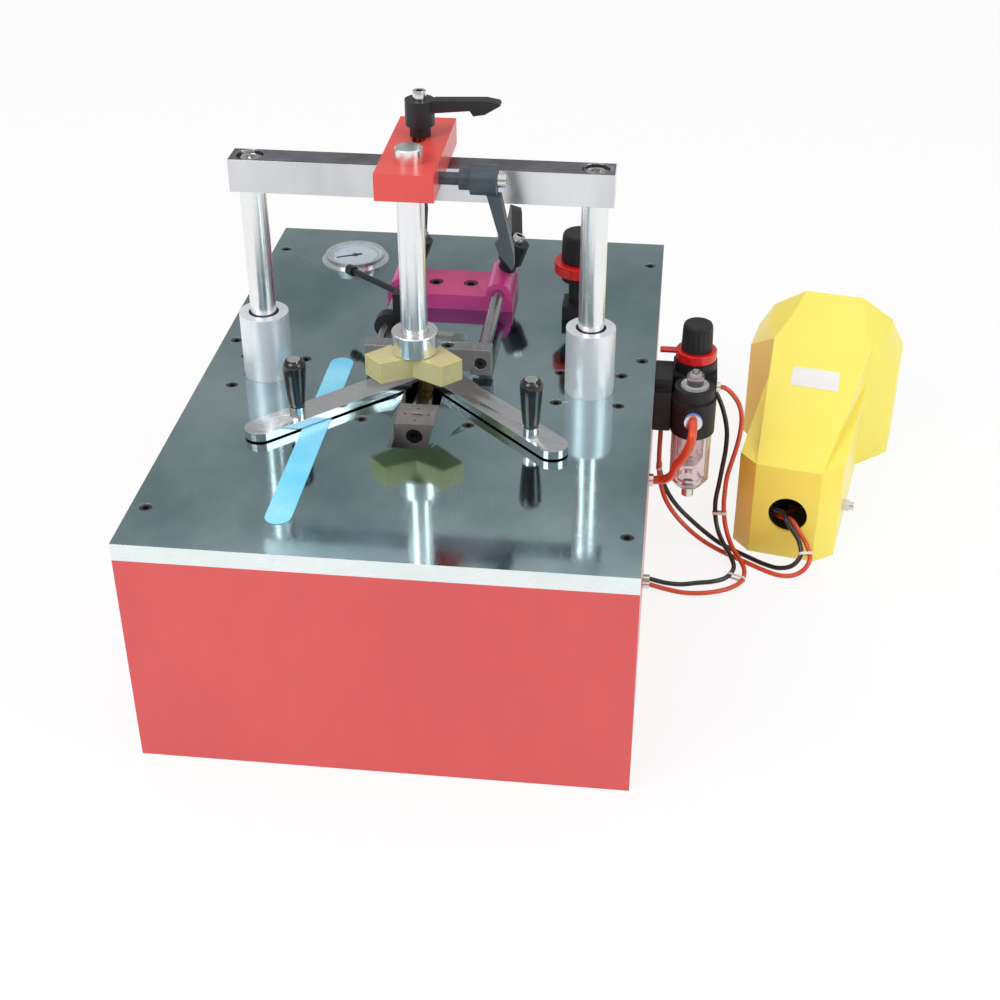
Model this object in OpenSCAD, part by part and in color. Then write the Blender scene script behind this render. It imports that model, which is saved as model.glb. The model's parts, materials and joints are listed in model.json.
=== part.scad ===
// Pneumatic picture frame underpinner: a bench cabinet with a polished table, an overhead clamp
// press, a V fence on two slide shafts, a nail driver under the table, an air unit and a foot pedal.
// Millimetres. +X right, +Y back, +Z up. The origin is the middle of the cabinet's underside.

/* [Cabinet and table] */
// Width of the table plate and of the cabinet
table_w = 400; // [390:1:430]
// Depth of the table plate and of the cabinet
table_d = 595; // [585:1:640]
// Thickness of the table plate
table_t = 15; // [12:1:18]
// Height of the cabinet under the table plate
cabinet_h = 194; // [188:1:230]
// Sheet thickness of the cabinet
sheet_t = 2; // [1.5:0.5:3]
// Width of the cabinet's folded-in top flange
flange_in = 26; // [22:1:34]
// Thickness of the cabinet's bottom plate
base_t = 4; // [3:1:6]
// Table screw thread
screw_d = 6; // [5:1:6]
// Side inset of the perimeter screws
edge_inset = 12.6; // [11:0.2:15]
// Front and back inset of the corner screws
corner_inset = 52.7; // [40:0.1:70]

/* [Clamp press] */
// Distance of the column axes from the table's sides
column_inset = 56.8; // [52:0.2:60]
// Distance of the columns from the table's front edge
column_y = 280; // [270:1:290]
// Diameter of the column rods and of the press rod
rod_d = 22.4; // [20:0.2:24]
// Outer diameter of the guide sleeves
sleeve_d = 43; // [42:0.5:48]
// Height of the guide sleeves above the table
sleeve_h = 60; // [50:1:70]
// Width of the square flange under the table
flange_w = 76; // [74:1:84]
// Thickness of that flange
flange_t = 12; // [10:1:15]
// Bolt pitch of that flange
flange_pitch = 54; // [52:0.5:58]
// Outer diameter of the clamp barrels
barrel_d = 63; // [58:1:70]
// Length of the clamp barrels
barrel_h = 95; // [85:1:110]
// Wall of the clamp barrels and of the driver barrel
barrel_wall = 4; // [3:0.5:6]
// Height of the crossbar's underside above the table
crossbar_z = 175; // [165:1:190]
// Length of the crossbar past each column axis
crossbar_over = 16; // [13:0.5:20]
// Depth of the crossbar
crossbar_d = 26; // [25:0.5:30]
// Height of the crossbar
crossbar_h = 28; // [24:1:32]
// Downward travel of the press
press_travel = 22; // [10:1:22]

/* [Press head] */
// Width of the head block
head_w = 47; // [40:1:50]
// Length of the head block
head_l = 130; // [120:1:135]
// Thickness of the head block
head_t = 22; // [20:1:26]
// Distance of the head block's front from the table's front edge
head_y = 193; // [188:1:200]
// Distance of the press rod from the table's front edge
press_y = 222; // [218:1:226]
// Height of the press rod's top above the head block
press_over = 12; // [8:1:30]
// Height of the foot's underside above the table
foot_z = 60; // [58:1:66]
// Diameter of the foot
foot_d = 38.7; // [34:0.1:42]
// Height of the foot
foot_h = 19; // [15:1:24]
// Thickness of the pressing pad
pad_t = 19; // [15:1:22]
// Half the width of the pad over its outer corners
pad_half = 41; // [38:1:44]
// Width of each leg of the pad
pad_leg = 22; // [18:1:24]
// Depth of the pad's front notch
pad_notch = 14; // [10:1:16]
// Travel of the head block each way
head_travel = 12; // [6:1:14]

/* [Clamp levers] */
// Diameter of a lever's hub
hub_d = 24; // [22:1:28]
// Height of a lever's hub with its neck
hub_h = 30; // [26:1:34]
// Height of the neck
neck_h = 9; // [7:1:11]
// Length of a lever's arm from its axis
lever_l = 66; // [58:1:74]
// Length of the side lever's arm
side_lever_l = 76; // [66:1:84]
// Thickness of a lever's arm at its root
lever_t = 11; // [9:1:13]
// Thread of the lever studs
stud_d = 10; // [8:1:12]
// Gap between the head block and the side lever's hub
side_lever_gap = 16; // [12:1:20]
// Tilt of the two bracket levers' studs towards the right
lever_tilt = 20; // [10:1:25]

/* [Fence] */
// Travel of the fence towards the front
fence_travel = 15; // [5:1:15]
// Length of the left fence arm from pivot to end centre
left_arm_l = 174; // [166:1:178]
// Length of the right fence arm from pivot to end centre
right_arm_l = 172; // [166:1:178]
// Angle of the left arm, forward of straight left
left_arm_a = 44.5; // [40:0.5:48]
// Angle of the right arm, forward of straight right
right_arm_a = 45.5; // [40:0.5:48]
// Width of the arms
arm_w = 26; // [22:1:28]
// Thickness of the arms
arm_t = 7; // [6:0.5:8]
// Gap between the arms and the table
arm_lift = 1.5; // [1:0.5:2]
// Radius of the half lap at the pivot
lap_r = 31; // [28:1:34]
// Diameter of the fence pivot pin
pin_d = 10; // [8:1:12]
// Distance from pivot to the left grip
left_grip_r = 138; // [126:1:150]
// Distance from pivot to the right grip
right_grip_r = 150; // [126:1:156]
// Distance of the left grip in front of its arm's middle
left_grip_off = 2; // [0:0.5:4]
// Distance of the right grip in front of its arm's middle
right_grip_off = 5; // [0:0.5:5]
// Largest diameter of a grip
grip_d = 19.2; // [16:0.2:22]
// Length of a grip
grip_h = 42; // [36:1:50]
// Diameter of a grip's spindle
spindle_d = 7; // [6:0.5:8]
// Height of the spindle's collar
collar_h = 9; // [5:1:12]

/* [Fence slide] */
// Length of the fence bar
bar_w = 112.6; // [110:0.2:120]
// Depth of the fence bar
bar_d = 14.6; // [14:0.2:18]
// Distance of the fence bar's front from the table's front edge
bar_y = 284; // [282:1:290]
// Gap between the fence bar and the table
bar_lift = 5.5; // [4:0.5:6]
// Height of the fence bar
bar_h = 24.5; // [23:0.5:28]
// Diameter of the slide shafts
shaft_d = 12; // [10:0.5:13]
// Distance between the two shafts
shaft_pitch = 93; // [88:1:96]
// Height of the shaft axes above the table
shaft_z = 17; // [16:0.5:18]
// Distance of the shafts' rear ends from the table's front edge
shaft_end = 500; // [496:1:512]
// Width of the slide bracket
bracket_w = 120; // [118:1:130]
// Distance of the slide bracket's front from the table's front edge
bracket_y = 422; // [418:1:430]
// Depth of the slide bracket
bracket_d = 56; // [50:1:60]
// Thickness of the slide bracket's plate
bracket_t = 15; // [12:1:16]
// Diameter of the bracket's shaft bosses
boss_d = 24; // [22:1:26]
// Distance between the bracket's two screws
bracket_pitch = 34; // [30:1:40]
// Screw thread of the bracket and the nail block
big_screw_d = 8; // [6:1:8]
// Diameter of the position lever's bar
bar_lever_d = 6; // [5:0.5:7]

/* [Nail driver] */
// Width of the nail block
block_w = 34; // [30:1:36]
// Distance of the nail block's front from the table's front edge
block_y = 201.5; // [198:0.5:204]
// Depth of the nail block
block_d = 35; // [32:1:38]
// Height of the nail block below the table's top
block_h = 45; // [42:1:48]
// Width of the driver blade
blade_w = 9; // [8:0.5:10]
// Thickness of the driver blade
blade_t = 2; // [1.5:0.5:2.5]
// Driver stroke
driver_travel = 23; // [15:1:23]
// Width of the magazine rail
rail_w = 16; // [15:1:20]
// Clear width of the magazine channel
channel_w = 11; // [10:0.5:12]
// Screw pitch of the driver frame across the table
driver_pitch_x = 91.8; // [88:0.2:96]
// Screw pitch of the driver frame from front to back
driver_pitch_y = 91.4; // [88:0.2:94]
// Bore of the driver barrel
driver_bore = 80; // [74:1:84]

/* [Gauge and regulator] */
// Outer diameter of the gauge bezel
gauge_d = 67.7; // [63:0.1:72]
// Height of the bezel above the table
gauge_h = 8; // [7:0.5:10]
// Left offset of the gauge from the table's middle
gauge_x = 111; // [105:1:118]
// Distance of the gauge from the table's back edge
gauge_back = 72; // [68:1:80]
// Side of the table regulator's square foot
regulator_foot = 30; // [26:1:34]
// Diameter of its neck
regulator_neck_d = 20; // [16:1:22]
// Diameter of its bonnet
regulator_d = 34; // [30:1:36]
// Height of its bonnet's top above the table
regulator_h = 45.5; // [42:0.5:50]
// Height of its knob
knob_h = 28; // [26:1:36]
// Diameter of its red ring
regulator_ring_d = 48; // [44:1:50]
// Height of its red ring
regulator_ring_h = 10.5; // [8:0.5:12]
// Right offset of the regulator
regulator_x = 123.5; // [118:0.5:130]
// Distance of the regulator from the table's front edge
regulator_y = 425; // [415:1:435]

/* [Air unit] */
// Width of the two air bodies
air_w = 40; // [36:1:42]
// Height of the filter body
air_h = 54; // [48:1:60]
// Height of the lubricator body
lube_h = 44.5; // [40:0.5:50]
// Width of the lubricator body's upper part
lube_w = 36; // [32:1:38]
// Gap between the cabinet's side and the air bodies
air_gap = 16; // [14:1:20]
// Distance of the filter body from the table's front edge
filter_y = 356; // [350:1:362]
// Distance between the filter and the lubricator
air_pitch = 42; // [40:0.5:45]
// Diameter of the clear bowls
bowl_d = 36; // [32:1:38]
// Height of the filter's clear bowl
bowl_h = 55; // [45:1:64]
// Diameter of the filter's knob
air_knob_d = 28.4; // [24:0.2:32]
// Height of the filter's knob
air_knob_h = 26; // [22:1:34]

/* [Foot pedal] */
// Right offset of the pedal's heel
pedal_x = 330; // [325:1:345]
// Distance of the pedal's heel from the table's front edge
pedal_y = 344; // [340:1:348]
// Turn of the pedal, clockwise from above
pedal_turn = 11; // [9:0.5:13]
// Width of the heel
heel_w = 98; // [94:1:104]
// Height of the heel
heel_h = 99; // [95:1:106]
// Width of the hood at the toe
toe_w = 154; // [146:1:160]
// Length of the hood
hood_l = 277; // [270:1:290]
// Height of the hood at the toe
toe_h = 152; // [148:1:158]
// Diameter of the tube hole in the heel
hole_d = 37; // [30:1:40]
// Wall of the hood
hood_wall = 3; // [2.5:0.5:4]
// Distance of the treadle's hinge from the heel
hinge_u = 60; // [56:1:64]
// Height of the treadle's hinge
hinge_w = 32; // [31:0.5:34]
// Length of the treadle from its hinge
treadle_l = 200; // [180:1:205]
// Width of the treadle
treadle_w = 84; // [74:1:86]
// Diameter of the treadle's hinge bolt
bolt_d = 8; // [6:1:10]

/* [Tubes and strip] */
// Outer diameter of the small air tubes
tube_d = 4.5; // [4:0.5:6]
// Outer diameter of the supply hose
hose_d = 8; // [7:0.5:8]
// Width of the blue strip
strip_w = 21; // [18:1:24]
// Length of the blue strip
strip_l = 272; // [240:1:280]

/* [Hidden] */
$fn = 48;
fit = 0.05;
seat = 0.2;
gap = 0.3;
top_z = cabinet_h + table_t;
column_x = table_w / 2 - column_inset;
crossbar_w = 2 * (column_x + crossbar_over);
fence_y = bar_y + bar_d / 2;
gauge_y = table_d - gauge_back;
mid_screw_y = 337;
head_z = crossbar_z + crossbar_h + gap;
head_top = head_z + head_t;
lever_z = head_z + head_t / 2 - 1.5;
sleeve_hole_d = sleeve_d + 1.2;
slot_front = 162;
washer_d = pin_d + 8;
slot_wide_y = fence_y - fence_travel - washer_d / 2 - 3;
slot_back = 375;
slot_half = 24;
arm_z = arm_lift;
arm_top = arm_lift + arm_t;
lap_z = arm_lift + arm_t / 2;
driver_y = block_y + 4.8 + driver_pitch_y / 2;
blade_y = block_y + block_d / 2;
driver_head_z = -92;
driver_head_t = 10;
driver_barrel_h = 50;
air_x = table_w / 2 + air_gap + air_w / 2;
air_top = -3.5;
lube_top = air_top - 6.5;
bowl_z = air_top - air_h - bowl_h;
lubricator_y = filter_y - air_pitch;
neck_d = 17;
cap_d = 10.5;
cap_h = 7;

// Routes of the tubes, from the table's front edge and top, chosen by hand
hose_route = [[236, 283, -31], [236, 275, -32], [235.5, 268.5, -37], [233.5, 266, -46],
    [229.5, 267, -56.5], [224, 270, -67], [222, 276, -77.5], [219, 281.5, -86.5],
    [213, 286, -93], [204, 287, -95]];
pedal_route_a = [[208, 368, -64], [208, 368, -82], [208, 368, -100], [208, 368, -118],
    [209, 368, -136], [212, 368, -153], [218, 367, -169], [228, 364, -183], [241, 360, -195],
    [255, 354, -203], [270, 345, -206.5], [285, 334, -206.5], [300, 324, -206.5],
    [315, 314, -206.5], [329, 307, -206], [342, 305, -203], [352, 309, -197],
    [356, 318, -190], [352, 328, -182], [345, 335, -174], pedal_at([8, 0, 43]),
    pedal_at([-3, 9, 39]), pedal_at([-11, 22, 32]), pedal_at([-12, 36, 23]),
    pedal_at([-7, 50, 16]), pedal_at([1, 62, 14]), pedal_at([4.5, 70, 14]),
    pedal_at([4.5, 78, 14])];
pedal_route_b = [[208, 376, -64], [208, 376, -82], [208, 376, -100], [208, 376, -118],
    [209, 376, -135], [213, 376, -151], [220, 375, -166], [230, 373, -179], [243, 369, -190],
    [257, 363, -199], [271, 355, -205], [286, 345, -206.5], [301, 334, -206.5],
    [315, 324, -206], [328, 315, -203], [340, 312, -197], [347, 317, -188],
    [345, 326, -179], [338, 332, -170], [332, 338, -163], pedal_at([-2, 2, 49]),
    pedal_at([-14, 9, 46]), pedal_at([-22, 21, 39]), pedal_at([-24, 34, 30]),
    pedal_at([-20, 46, 21]), pedal_at([-13, 58, 15]), pedal_at([-7, 68, 14]),
    pedal_at([-5.5, 78, 14])];
feed_route_a = [[206, 272, -201], [222, 271, -204.5], [238, 270, -206.5], [255, 271, -206.5],
    [271, 276, -206.5], [284, 284, -206.5], [293, 295, -206], [295, 309, -203.5],
    [290, 323, -200], [284, 336, -198], [279, 348, -192], [275, 357, -181], [273, 361, -165],
    [273, 362, -148], [274, 361, -131], [277, 359, -114], [280, 357, -97], [282, 356, -80],
    [282, 356, -63], [278, 356, -49], [270, 356, -38], [264, 356, -33.5], [260, 356, -33]];
feed_route_b = [[206, 281, -201], [221, 281, -204.5], [236, 283, -206.5], [251, 287, -206.5],
    [266, 291, -206.5], [278, 298, -206], [285, 310, -203], [282, 325, -200],
    [276, 339, -197.5], [270, 351, -191], [266, 360, -179], [265, 366, -164],
    [267, 370, -148], [269, 374, -131], [271, 379, -114], [271, 386, -97], [267, 393, -81],
    [260, 399, -66], [250, 402, -52], [241, 401, -41], [236, 394, -34.5], [236, 386, -33]];
hose_port = [287, -95];
feed_ports = [[272, -201], [281, -201]];
pedal_ports = [[368, -54], [376, -54]];

// Point in the table's frame of a point given in the pedal's own frame
function pedal_at(p) = [pedal_x + p[0] * cos(pedal_turn) + p[1] * sin(pedal_turn),
    pedal_y - p[0] * sin(pedal_turn) + p[1] * cos(pedal_turn), p[2] - top_z];

// Moves a shape that is given from the table's front edge and top to the origin's frame
module on_table() translate([0, -table_d / 2, top_z]) children();

// Moves a shape that is given in the pedal's own frame, x across, y to the toe, z up
module at_pedal() translate([pedal_x, pedal_y, -top_z]) rotate([0, 0, -pedal_turn]) children();

module both_sides() {
    children();
    mirror([1, 0, 0]) children();
}

module ring(d, bore, h) difference() {
    cylinder(d = d, h = h);
    translate([0, 0, -1]) cylinder(d = bore, h = h + 2);
}

// Socket head screw, its head's top at z = 0 and its shank down
module cap_screw(d, l) difference() {
    union() {
        translate([0, 0, -d]) cylinder(d = 1.6 * d, h = d);
        translate([0, 0, -d - l]) cylinder(d = d, h = l + 1);
    }
    translate([0, 0, -d / 2]) cylinder(d = 0.95 * d, h = d, $fn = 6);
}

// Counterbored hole for that screw, its head sunk below the face at z = 0
module screw_hole(d, l) {
    translate([0, 0, -d - sink]) cylinder(d = 1.6 * d + 2 * seat + 1, h = d + sink + 1);
    translate([0, 0, -d - sink - l]) cylinder(d = d + 2 * seat, h = l + 1);
}
sink = 0.8;

module tapped_hole(d, l) translate([0, 0, -l]) cylinder(d = d + 2 * fit, h = l + 1);

// Tube along a route: each ring's normal is the one before it, carried along the tangent
function unit(v) = v / norm(v);
function tangent(p, i) = unit(p[min(i + 1, len(p) - 1)] - p[max(i - 1, 0)]);
function carried(n, t) = unit(n - (n * t) * t);
function first_normal(t) = carried(abs(t[2]) < 0.8 ? [0, 0, 1] : [1, 0, 0], t);
function normals(p, i, n) = i == len(p) ? []
    : let (m = carried(n, tangent(p, i))) concat([m], normals(p, i + 1, m));
module swept(p, d, sides) {
    n = normals(p, 0, first_normal(tangent(p, 0)));
    rings = len(p);
    points = [for (i = [0:rings - 1]) for (k = [0:sides - 1])
        let (a = 360 * k / sides, b = cross(tangent(p, i), n[i]))
            p[i] + d / 2 * (cos(a) * n[i] + sin(a) * b)];
    walls = [for (i = [0:rings - 2]) for (k = [0:sides - 1])
        let (m = (k + 1) % sides, j = i * sides) each [
            [j + k, j + sides + k, j + sides + m],
            [j + k, j + sides + m, j + m]]];
    start = [for (k = [1:sides - 2]) [0, k, k + 1]];
    last = (rings - 1) * sides;
    end = [for (k = [1:sides - 2]) [last, last + k + 1, last + k]];
    polyhedron(points, concat(walls, start, end));
}

// Coil spring standing on z = 0, open ends
coil_rings = 8;
function coil(r, h, turns) = [for (i = [0:turns * coil_rings])
    [r * cos(360 * i / coil_rings), r * sin(360 * i / coil_rings), h * i / (turns * coil_rings)]];

// Cabinet

perimeter_screws = [for (s = [-1, 1])
    for (y = [corner_inset, mid_screw_y, table_d - corner_inset])
        [s * (table_w / 2 - edge_inset), y]];
flange_screws = [for (s = [-1, 1]) for (i = [-1, 1]) for (j = [-1, 1])
    [s * column_x + i * flange_pitch / 2, column_y + j * flange_pitch / 2]];
driver_screws = [for (i = [-1, 1]) for (j = [-1, 1])
    [i * driver_pitch_x / 2, driver_y + j * driver_pitch_y / 2]];
bracket_screws = [for (i = [-1, 1]) [i * bracket_pitch / 2, bracket_y + bracket_d / 2]];
screw_l = table_t - screw_d - sink + 8;
wall_ports = concat([[hose_d + 4, hose_port]], [for (p = feed_ports) [tube_d + 3.6, p]],
    [for (p = pedal_ports) [tube_d + 3, p]]);

module cabinet() color("firebrick") on_table() difference() {
    translate([-table_w / 2, 0, -top_z]) cube([table_w, table_d, cabinet_h]);
    translate([-table_w / 2 + sheet_t, sheet_t, -top_z - 1])
        cube([table_w - 2 * sheet_t, table_d - 2 * sheet_t, cabinet_h - sheet_t + 1]);
    translate([-table_w / 2 + flange_in, flange_in, -top_z])
        cube([table_w - 2 * flange_in, table_d - 2 * flange_in, cabinet_h + 1]);
    for (s = perimeter_screws) translate([s[0], s[1], -table_t]) tapped_hole(screw_d, sheet_t + 1);
    for (p = wall_ports) translate([table_w / 2 - sheet_t - 1, p[1][0], p[1][1]])
        rotate([0, 90, 0]) cylinder(d = p[0] - 2 + 2 * fit, h = sheet_t + 2);
    both_sides() translate([column_x - notch_w / 2, column_y - notch_w / 2, -table_t - sheet_t - 1])
        cube([notch_w, notch_w, sheet_t + 2]);
}
notch_w = flange_w + 2;

module base_plate() color("dimgray") on_table() translate([-table_w / 2 + sheet_t + seat,
    sheet_t + seat, -top_z]) cube([table_w - 2 * sheet_t - 2 * seat,
    table_d - 2 * sheet_t - 2 * seat, base_t]);

module slot_plan() {
    translate([-block_w / 2 - seat, slot_front])
        square([block_w + 2 * seat, slot_wide_y + 1 - slot_front]);
    translate([-slot_half, slot_wide_y]) square([2 * slot_half, slot_back - slot_wide_y - 10]);
    translate([-slot_half + 10, slot_wide_y + 1])
        square([2 * slot_half - 20, slot_back - slot_wide_y - 1]);
    for (s = [-1, 1]) translate([s * (slot_half - 10), slot_back - 10]) circle(r = 10);
}

module table() color("lightsteelblue") on_table() difference() {
    translate([-table_w / 2, 0, -table_t]) cube([table_w, table_d, table_t]);
    translate([0, 0, -table_t - 1]) linear_extrude(table_t + 2) slot_plan();
    both_sides() translate([column_x, column_y, -table_t - 1])
        cylinder(d = sleeve_hole_d, h = table_t + 2);
    translate([-gauge_x, gauge_y, -table_t - 1])
        cylinder(d = gauge_d - 6 + 2 * seat, h = table_t + 2);
    for (s = concat(perimeter_screws, flange_screws, driver_screws))
        translate([s[0], s[1], 0]) screw_hole(screw_d, table_t);
    for (s = bracket_screws) translate([s[0], s[1], 0]) tapped_hole(big_screw_d, table_t - 2);
    translate([regulator_x, regulator_y, 0]) tapped_hole(big_screw_d, table_t - 2);
}

module table_screws() color("dimgray") on_table() {
    for (s = perimeter_screws)
        translate([s[0], s[1], -sink]) cap_screw(screw_d, table_t - screw_d - sink + sheet_t);
    for (s = concat(flange_screws, driver_screws))
        translate([s[0], s[1], -sink]) cap_screw(screw_d, screw_l);
    for (s = bracket_screws)
        translate([s[0], s[1], bracket_t - sink]) cap_screw(big_screw_d, bracket_t);
    translate([0, block_y + sink, -table_t + 3]) rotate([90, 0, 0])
        cap_screw(big_screw_d, blade_y - block_y - big_screw_d - 4);
}

// Clamp cylinders

module guide_sleeves() color("silver") on_table() both_sides()
    translate([column_x, column_y, 0]) difference() {
        union() {
            translate([0, 0, -table_t - flange_t]) cylinder(d = sleeve_d,
                h = table_t + flange_t + sleeve_h);
            translate([-flange_w / 2, -flange_w / 2, -table_t - flange_t])
                cube([flange_w, flange_w, flange_t]);
        }
        translate([0, 0, -table_t - flange_t - 1])
            cylinder(d = rod_d + 2 * fit, h = table_t + flange_t + sleeve_h + 2);
        translate([0, 0, sleeve_h - wiper_t]) cylinder(d = wiper_d, h = wiper_t + 1);
        for (i = [-1, 1]) for (j = [-1, 1])
            translate([i * flange_pitch / 2, j * flange_pitch / 2, -table_t])
                tapped_hole(screw_d, flange_t + 1);
    }
wiper_t = 5;
wiper_d = rod_d + 4;

module rod_wipers() color("black") on_table() both_sides()
    translate([column_x, column_y, sleeve_h - wiper_t])
        ring(wiper_d - 2 * fit, rod_d + 2 * gap, wiper_t - 0.5);

module clamp_barrels() color("silver") on_table() both_sides()
    translate([column_x, column_y, -table_t - flange_t - barrel_h]) difference() {
        cylinder(d = barrel_d, h = barrel_h);
        translate([0, 0, 2 * barrel_wall])
            cylinder(d = barrel_d - 2 * barrel_wall, h = barrel_h);
    }

piston_t = 16;
piston_z = -table_t - flange_t - 4 - piston_t;
module column_rods() color("gainsboro") on_table() both_sides()
    translate([column_x, column_y, 0]) difference() {
        union() {
            translate([0, 0, piston_z]) cylinder(d = rod_d, h = crossbar_z - piston_z);
            translate([0, 0, crossbar_z - 1])
                cylinder(d = spigot_d, h = crossbar_h - rod_sink + 1 - seat);
        }
        translate([0, 0, crossbar_z + crossbar_h - rod_sink])
            tapped_hole(rod_screw_d, rod_screw_l + 1);
    }
spigot_d = 16;
rod_sink = 10;
rod_screw_d = 10;
rod_screw_l = 30;

module clamp_pistons() color("darkgray") on_table() both_sides()
    translate([column_x, column_y, piston_z])
        ring(barrel_d - 2 * barrel_wall - 2 * fit, rod_d + 2 * fit, piston_t);

module crossbar() color("gainsboro") on_table() difference() {
    translate([-crossbar_w / 2, column_y - crossbar_d / 2, crossbar_z])
        cube([crossbar_w, crossbar_d, crossbar_h]);
    both_sides() translate([column_x, column_y, crossbar_z]) {
        translate([0, 0, -1]) cylinder(d = spigot_d + 2 * fit, h = crossbar_h + 2);
        translate([0, 0, crossbar_h - rod_sink]) cylinder(d = rod_d + 0.8, h = rod_sink + 1);
    }
    translate([0, column_y, crossbar_z + crossbar_h]) tapped_hole(stud_d, crossbar_h - 4);
}

module crossbar_screws() color("dimgray") on_table() {
    both_sides() translate([column_x, column_y, crossbar_z + crossbar_h - rod_sink]) {
        cylinder(d = spigot_d + 3, h = 2);
        translate([0, 0, 2 + rod_screw_d * 0.6]) rotate([0, 0, 0]) difference() {
            union() {
                translate([0, 0, -rod_screw_d * 0.6])
                    cylinder(d = 1.6 * rod_screw_d, h = rod_screw_d * 0.6);
                translate([0, 0, -rod_screw_d * 0.6 - 2 - rod_screw_l])
                    cylinder(d = rod_screw_d, h = rod_screw_l + 3);
            }
            translate([0, 0, -3]) cylinder(d = 0.95 * rod_screw_d, h = 5, $fn = 6);
        }
    }
    translate([0, column_y, crossbar_z + crossbar_h - (crossbar_h - 5)])
        cylinder(d = stud_d, h = crossbar_h - 5 + gap + head_t + hub_h - 10);
}

// Press head

module head_block() color("tomato") on_table() difference() {
    translate([-head_w / 2, head_y, head_z]) cube([head_w, head_l, head_t]);
    translate([0, press_y, head_z - 1]) cylinder(d = rod_d + 2 * fit, h = head_t + 2);
    translate([0, 0, head_z - 1]) linear_extrude(head_t + 2) {
        translate([-stud_d / 2 - gap, column_y - head_travel])
            square([stud_d + 2 * gap, 2 * head_travel]);
        for (s = [-1, 1]) translate([0, column_y + s * head_travel])
            circle(d = stud_d + 2 * gap);
    }
    translate([0, press_y, lever_z]) rotate([0, 90, 0])
        cylinder(d = stud_d + 2 * fit, h = head_w);
}

module press_rod() color("gainsboro") on_table() translate([0, press_y, foot_z + 4])
    union() {
        cylinder(d = rod_d, h = head_top + press_over - foot_z - 5);
        translate([0, 0, head_top + press_over - foot_z - 5])
            cylinder(d1 = rod_d, d2 = rod_d - 2, h = 1, $fn = 48);
    }

module press_foot() color("gainsboro") on_table() translate([0, press_y, foot_z]) difference() {
    union() {
        cylinder(d = foot_d, h = foot_h);
        translate([0, 0, -spigot_l]) cylinder(d = pin_d, h = spigot_l + 1);
    }
    translate([0, 0, 4]) cylinder(d = rod_d + 2 * fit, h = foot_h);
}
spigot_l = 13;

// The pad's plan: two legs at 45 degrees with square ends, and a shallow front notch
leg_c = pad_leg * cos(45);
module pad_plan() polygon([[pad_half - leg_c, -pad_half * 0.27 - leg_c],
    [pad_half, -pad_half * 0.27], [pad_rear, pad_half * 0.73 - pad_rear],
    [-pad_rear, pad_half * 0.73 - pad_rear], [-pad_half, -pad_half * 0.27],
    [-pad_half + leg_c, -pad_half * 0.27 - leg_c], [0, -pad_half * 0.27 - leg_c + pad_notch]]);
pad_rear = 13;

module press_pad() color("khaki") on_table()
    translate([0, press_y, foot_z - seat - pad_t]) difference() {
        linear_extrude(pad_t) pad_plan();
        translate([0, 0, pad_t - spigot_l - 1]) cylinder(d = pin_d + 2 * fit, h = spigot_l + 2);
    }

// Clamp levers: the hub stands on z = 0, and the arm points along +x, rising by a few degrees

function lever_outline(l) = [[0, -lever_t / 2], [l * 0.62, -lever_t * 0.32],
    [l * 0.66, -lever_t * 0.72], [l * 0.8, -lever_t * 0.62], [l, lever_t * 0.02],
    [l * 0.98, lever_t * 0.2], [l * 0.82, lever_t * 0.42], [0, lever_t / 2]];
module lever(rise, l) {
    difference() {
        union() {
            cylinder(d = neck_d, h = neck_h);
            translate([0, 0, neck_h]) cylinder(d = hub_d, h = hub_h - neck_h);
            translate([0, 0, hub_h - lever_t / 2]) rotate([90, -rise, 0])
                translate([0, 0, -lever_t / 2]) linear_extrude(lever_t) polygon(lever_outline(l));
        }
        translate([0, 0, -1]) cylinder(d = stud_d + 2 * fit, h = hub_h - 8);
        translate([0, 0, hub_h]) cylinder(d = hub_d + 2, h = lever_t);
    }
    translate([0, 0, hub_h]) difference() {
        cylinder(d = cap_d, h = cap_h);
        translate([0, 0, cap_h - 3]) cylinder(d = cap_d * 0.55, h = 4, $fn = 6);
    }
}

module top_lever() color("#222222") on_table() translate([0, column_y, head_top + gap]) lever(3, lever_l);

module stud(reach) translate([0, 0, -reach]) cylinder(d = stud_d, h = reach + hub_h - 10);

side_lever_x = head_w / 2 + side_lever_gap;
module side_lever() color("darkslategray") on_table() translate([side_lever_x, press_y, lever_z])
    rotate([0, 90, 0]) {
        lever(13, side_lever_l);
        stud(side_lever_x - rod_d / 2 - 0.5);
    }

// Nail block, magazine and driver

module nail_block() color("dimgray") on_table() difference() {
    union() {
        translate([-block_w / 2, block_y, -block_h]) cube([block_w, block_d, block_h]);
        translate([-block_w / 2 - 13, block_y, -block_h])
            cube([block_w + 26, block_d, block_h - table_t]);
    }
    translate([-blade_w / 2 - 2 * fit, blade_y - blade_t / 2 - 2 * fit, -block_h - 1])
        cube([blade_w + 4 * fit, blade_t + 4 * fit, block_h + 2]);
    translate([-channel_w / 2, blade_y + blade_t / 2, -rail_deep + 2])
        cube([channel_w, block_d, rail_deep - 2 - rail_low]);
    for (a = [0:90:270]) rotate_about(blade_y, a)
        translate([block_w / 3.4, 0, -4]) cylinder(d = 2.6, h = 5, $fn = 16);
    translate([0, block_y, -table_t + 3]) rotate([90, 0, 0])
        screw_hole(big_screw_d, blade_y - block_y - big_screw_d - 3);
}
module rotate_about(y, a) translate([0, y, 0]) rotate([0, 0, a]) children();
rail_low = 6;
rail_deep = 24;

module magazine_rail() color("gray") on_table() difference() {
    union() {
        translate([-rail_w / 2, block_y + block_d, -rail_deep])
            cube([rail_w, slot_back + 17 - block_y - block_d, rail_deep - table_t]);
        translate([-rail_w / 2, block_y + block_d, -rail_deep])
            cube([rail_w, slot_back - 3 - block_y - block_d, rail_deep - rail_low]);
    }
    translate([-channel_w / 2, block_y + block_d - 1, -rail_deep + 2])
        cube([channel_w, slot_back - block_y - block_d - 8, rail_deep]);
}

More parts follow.
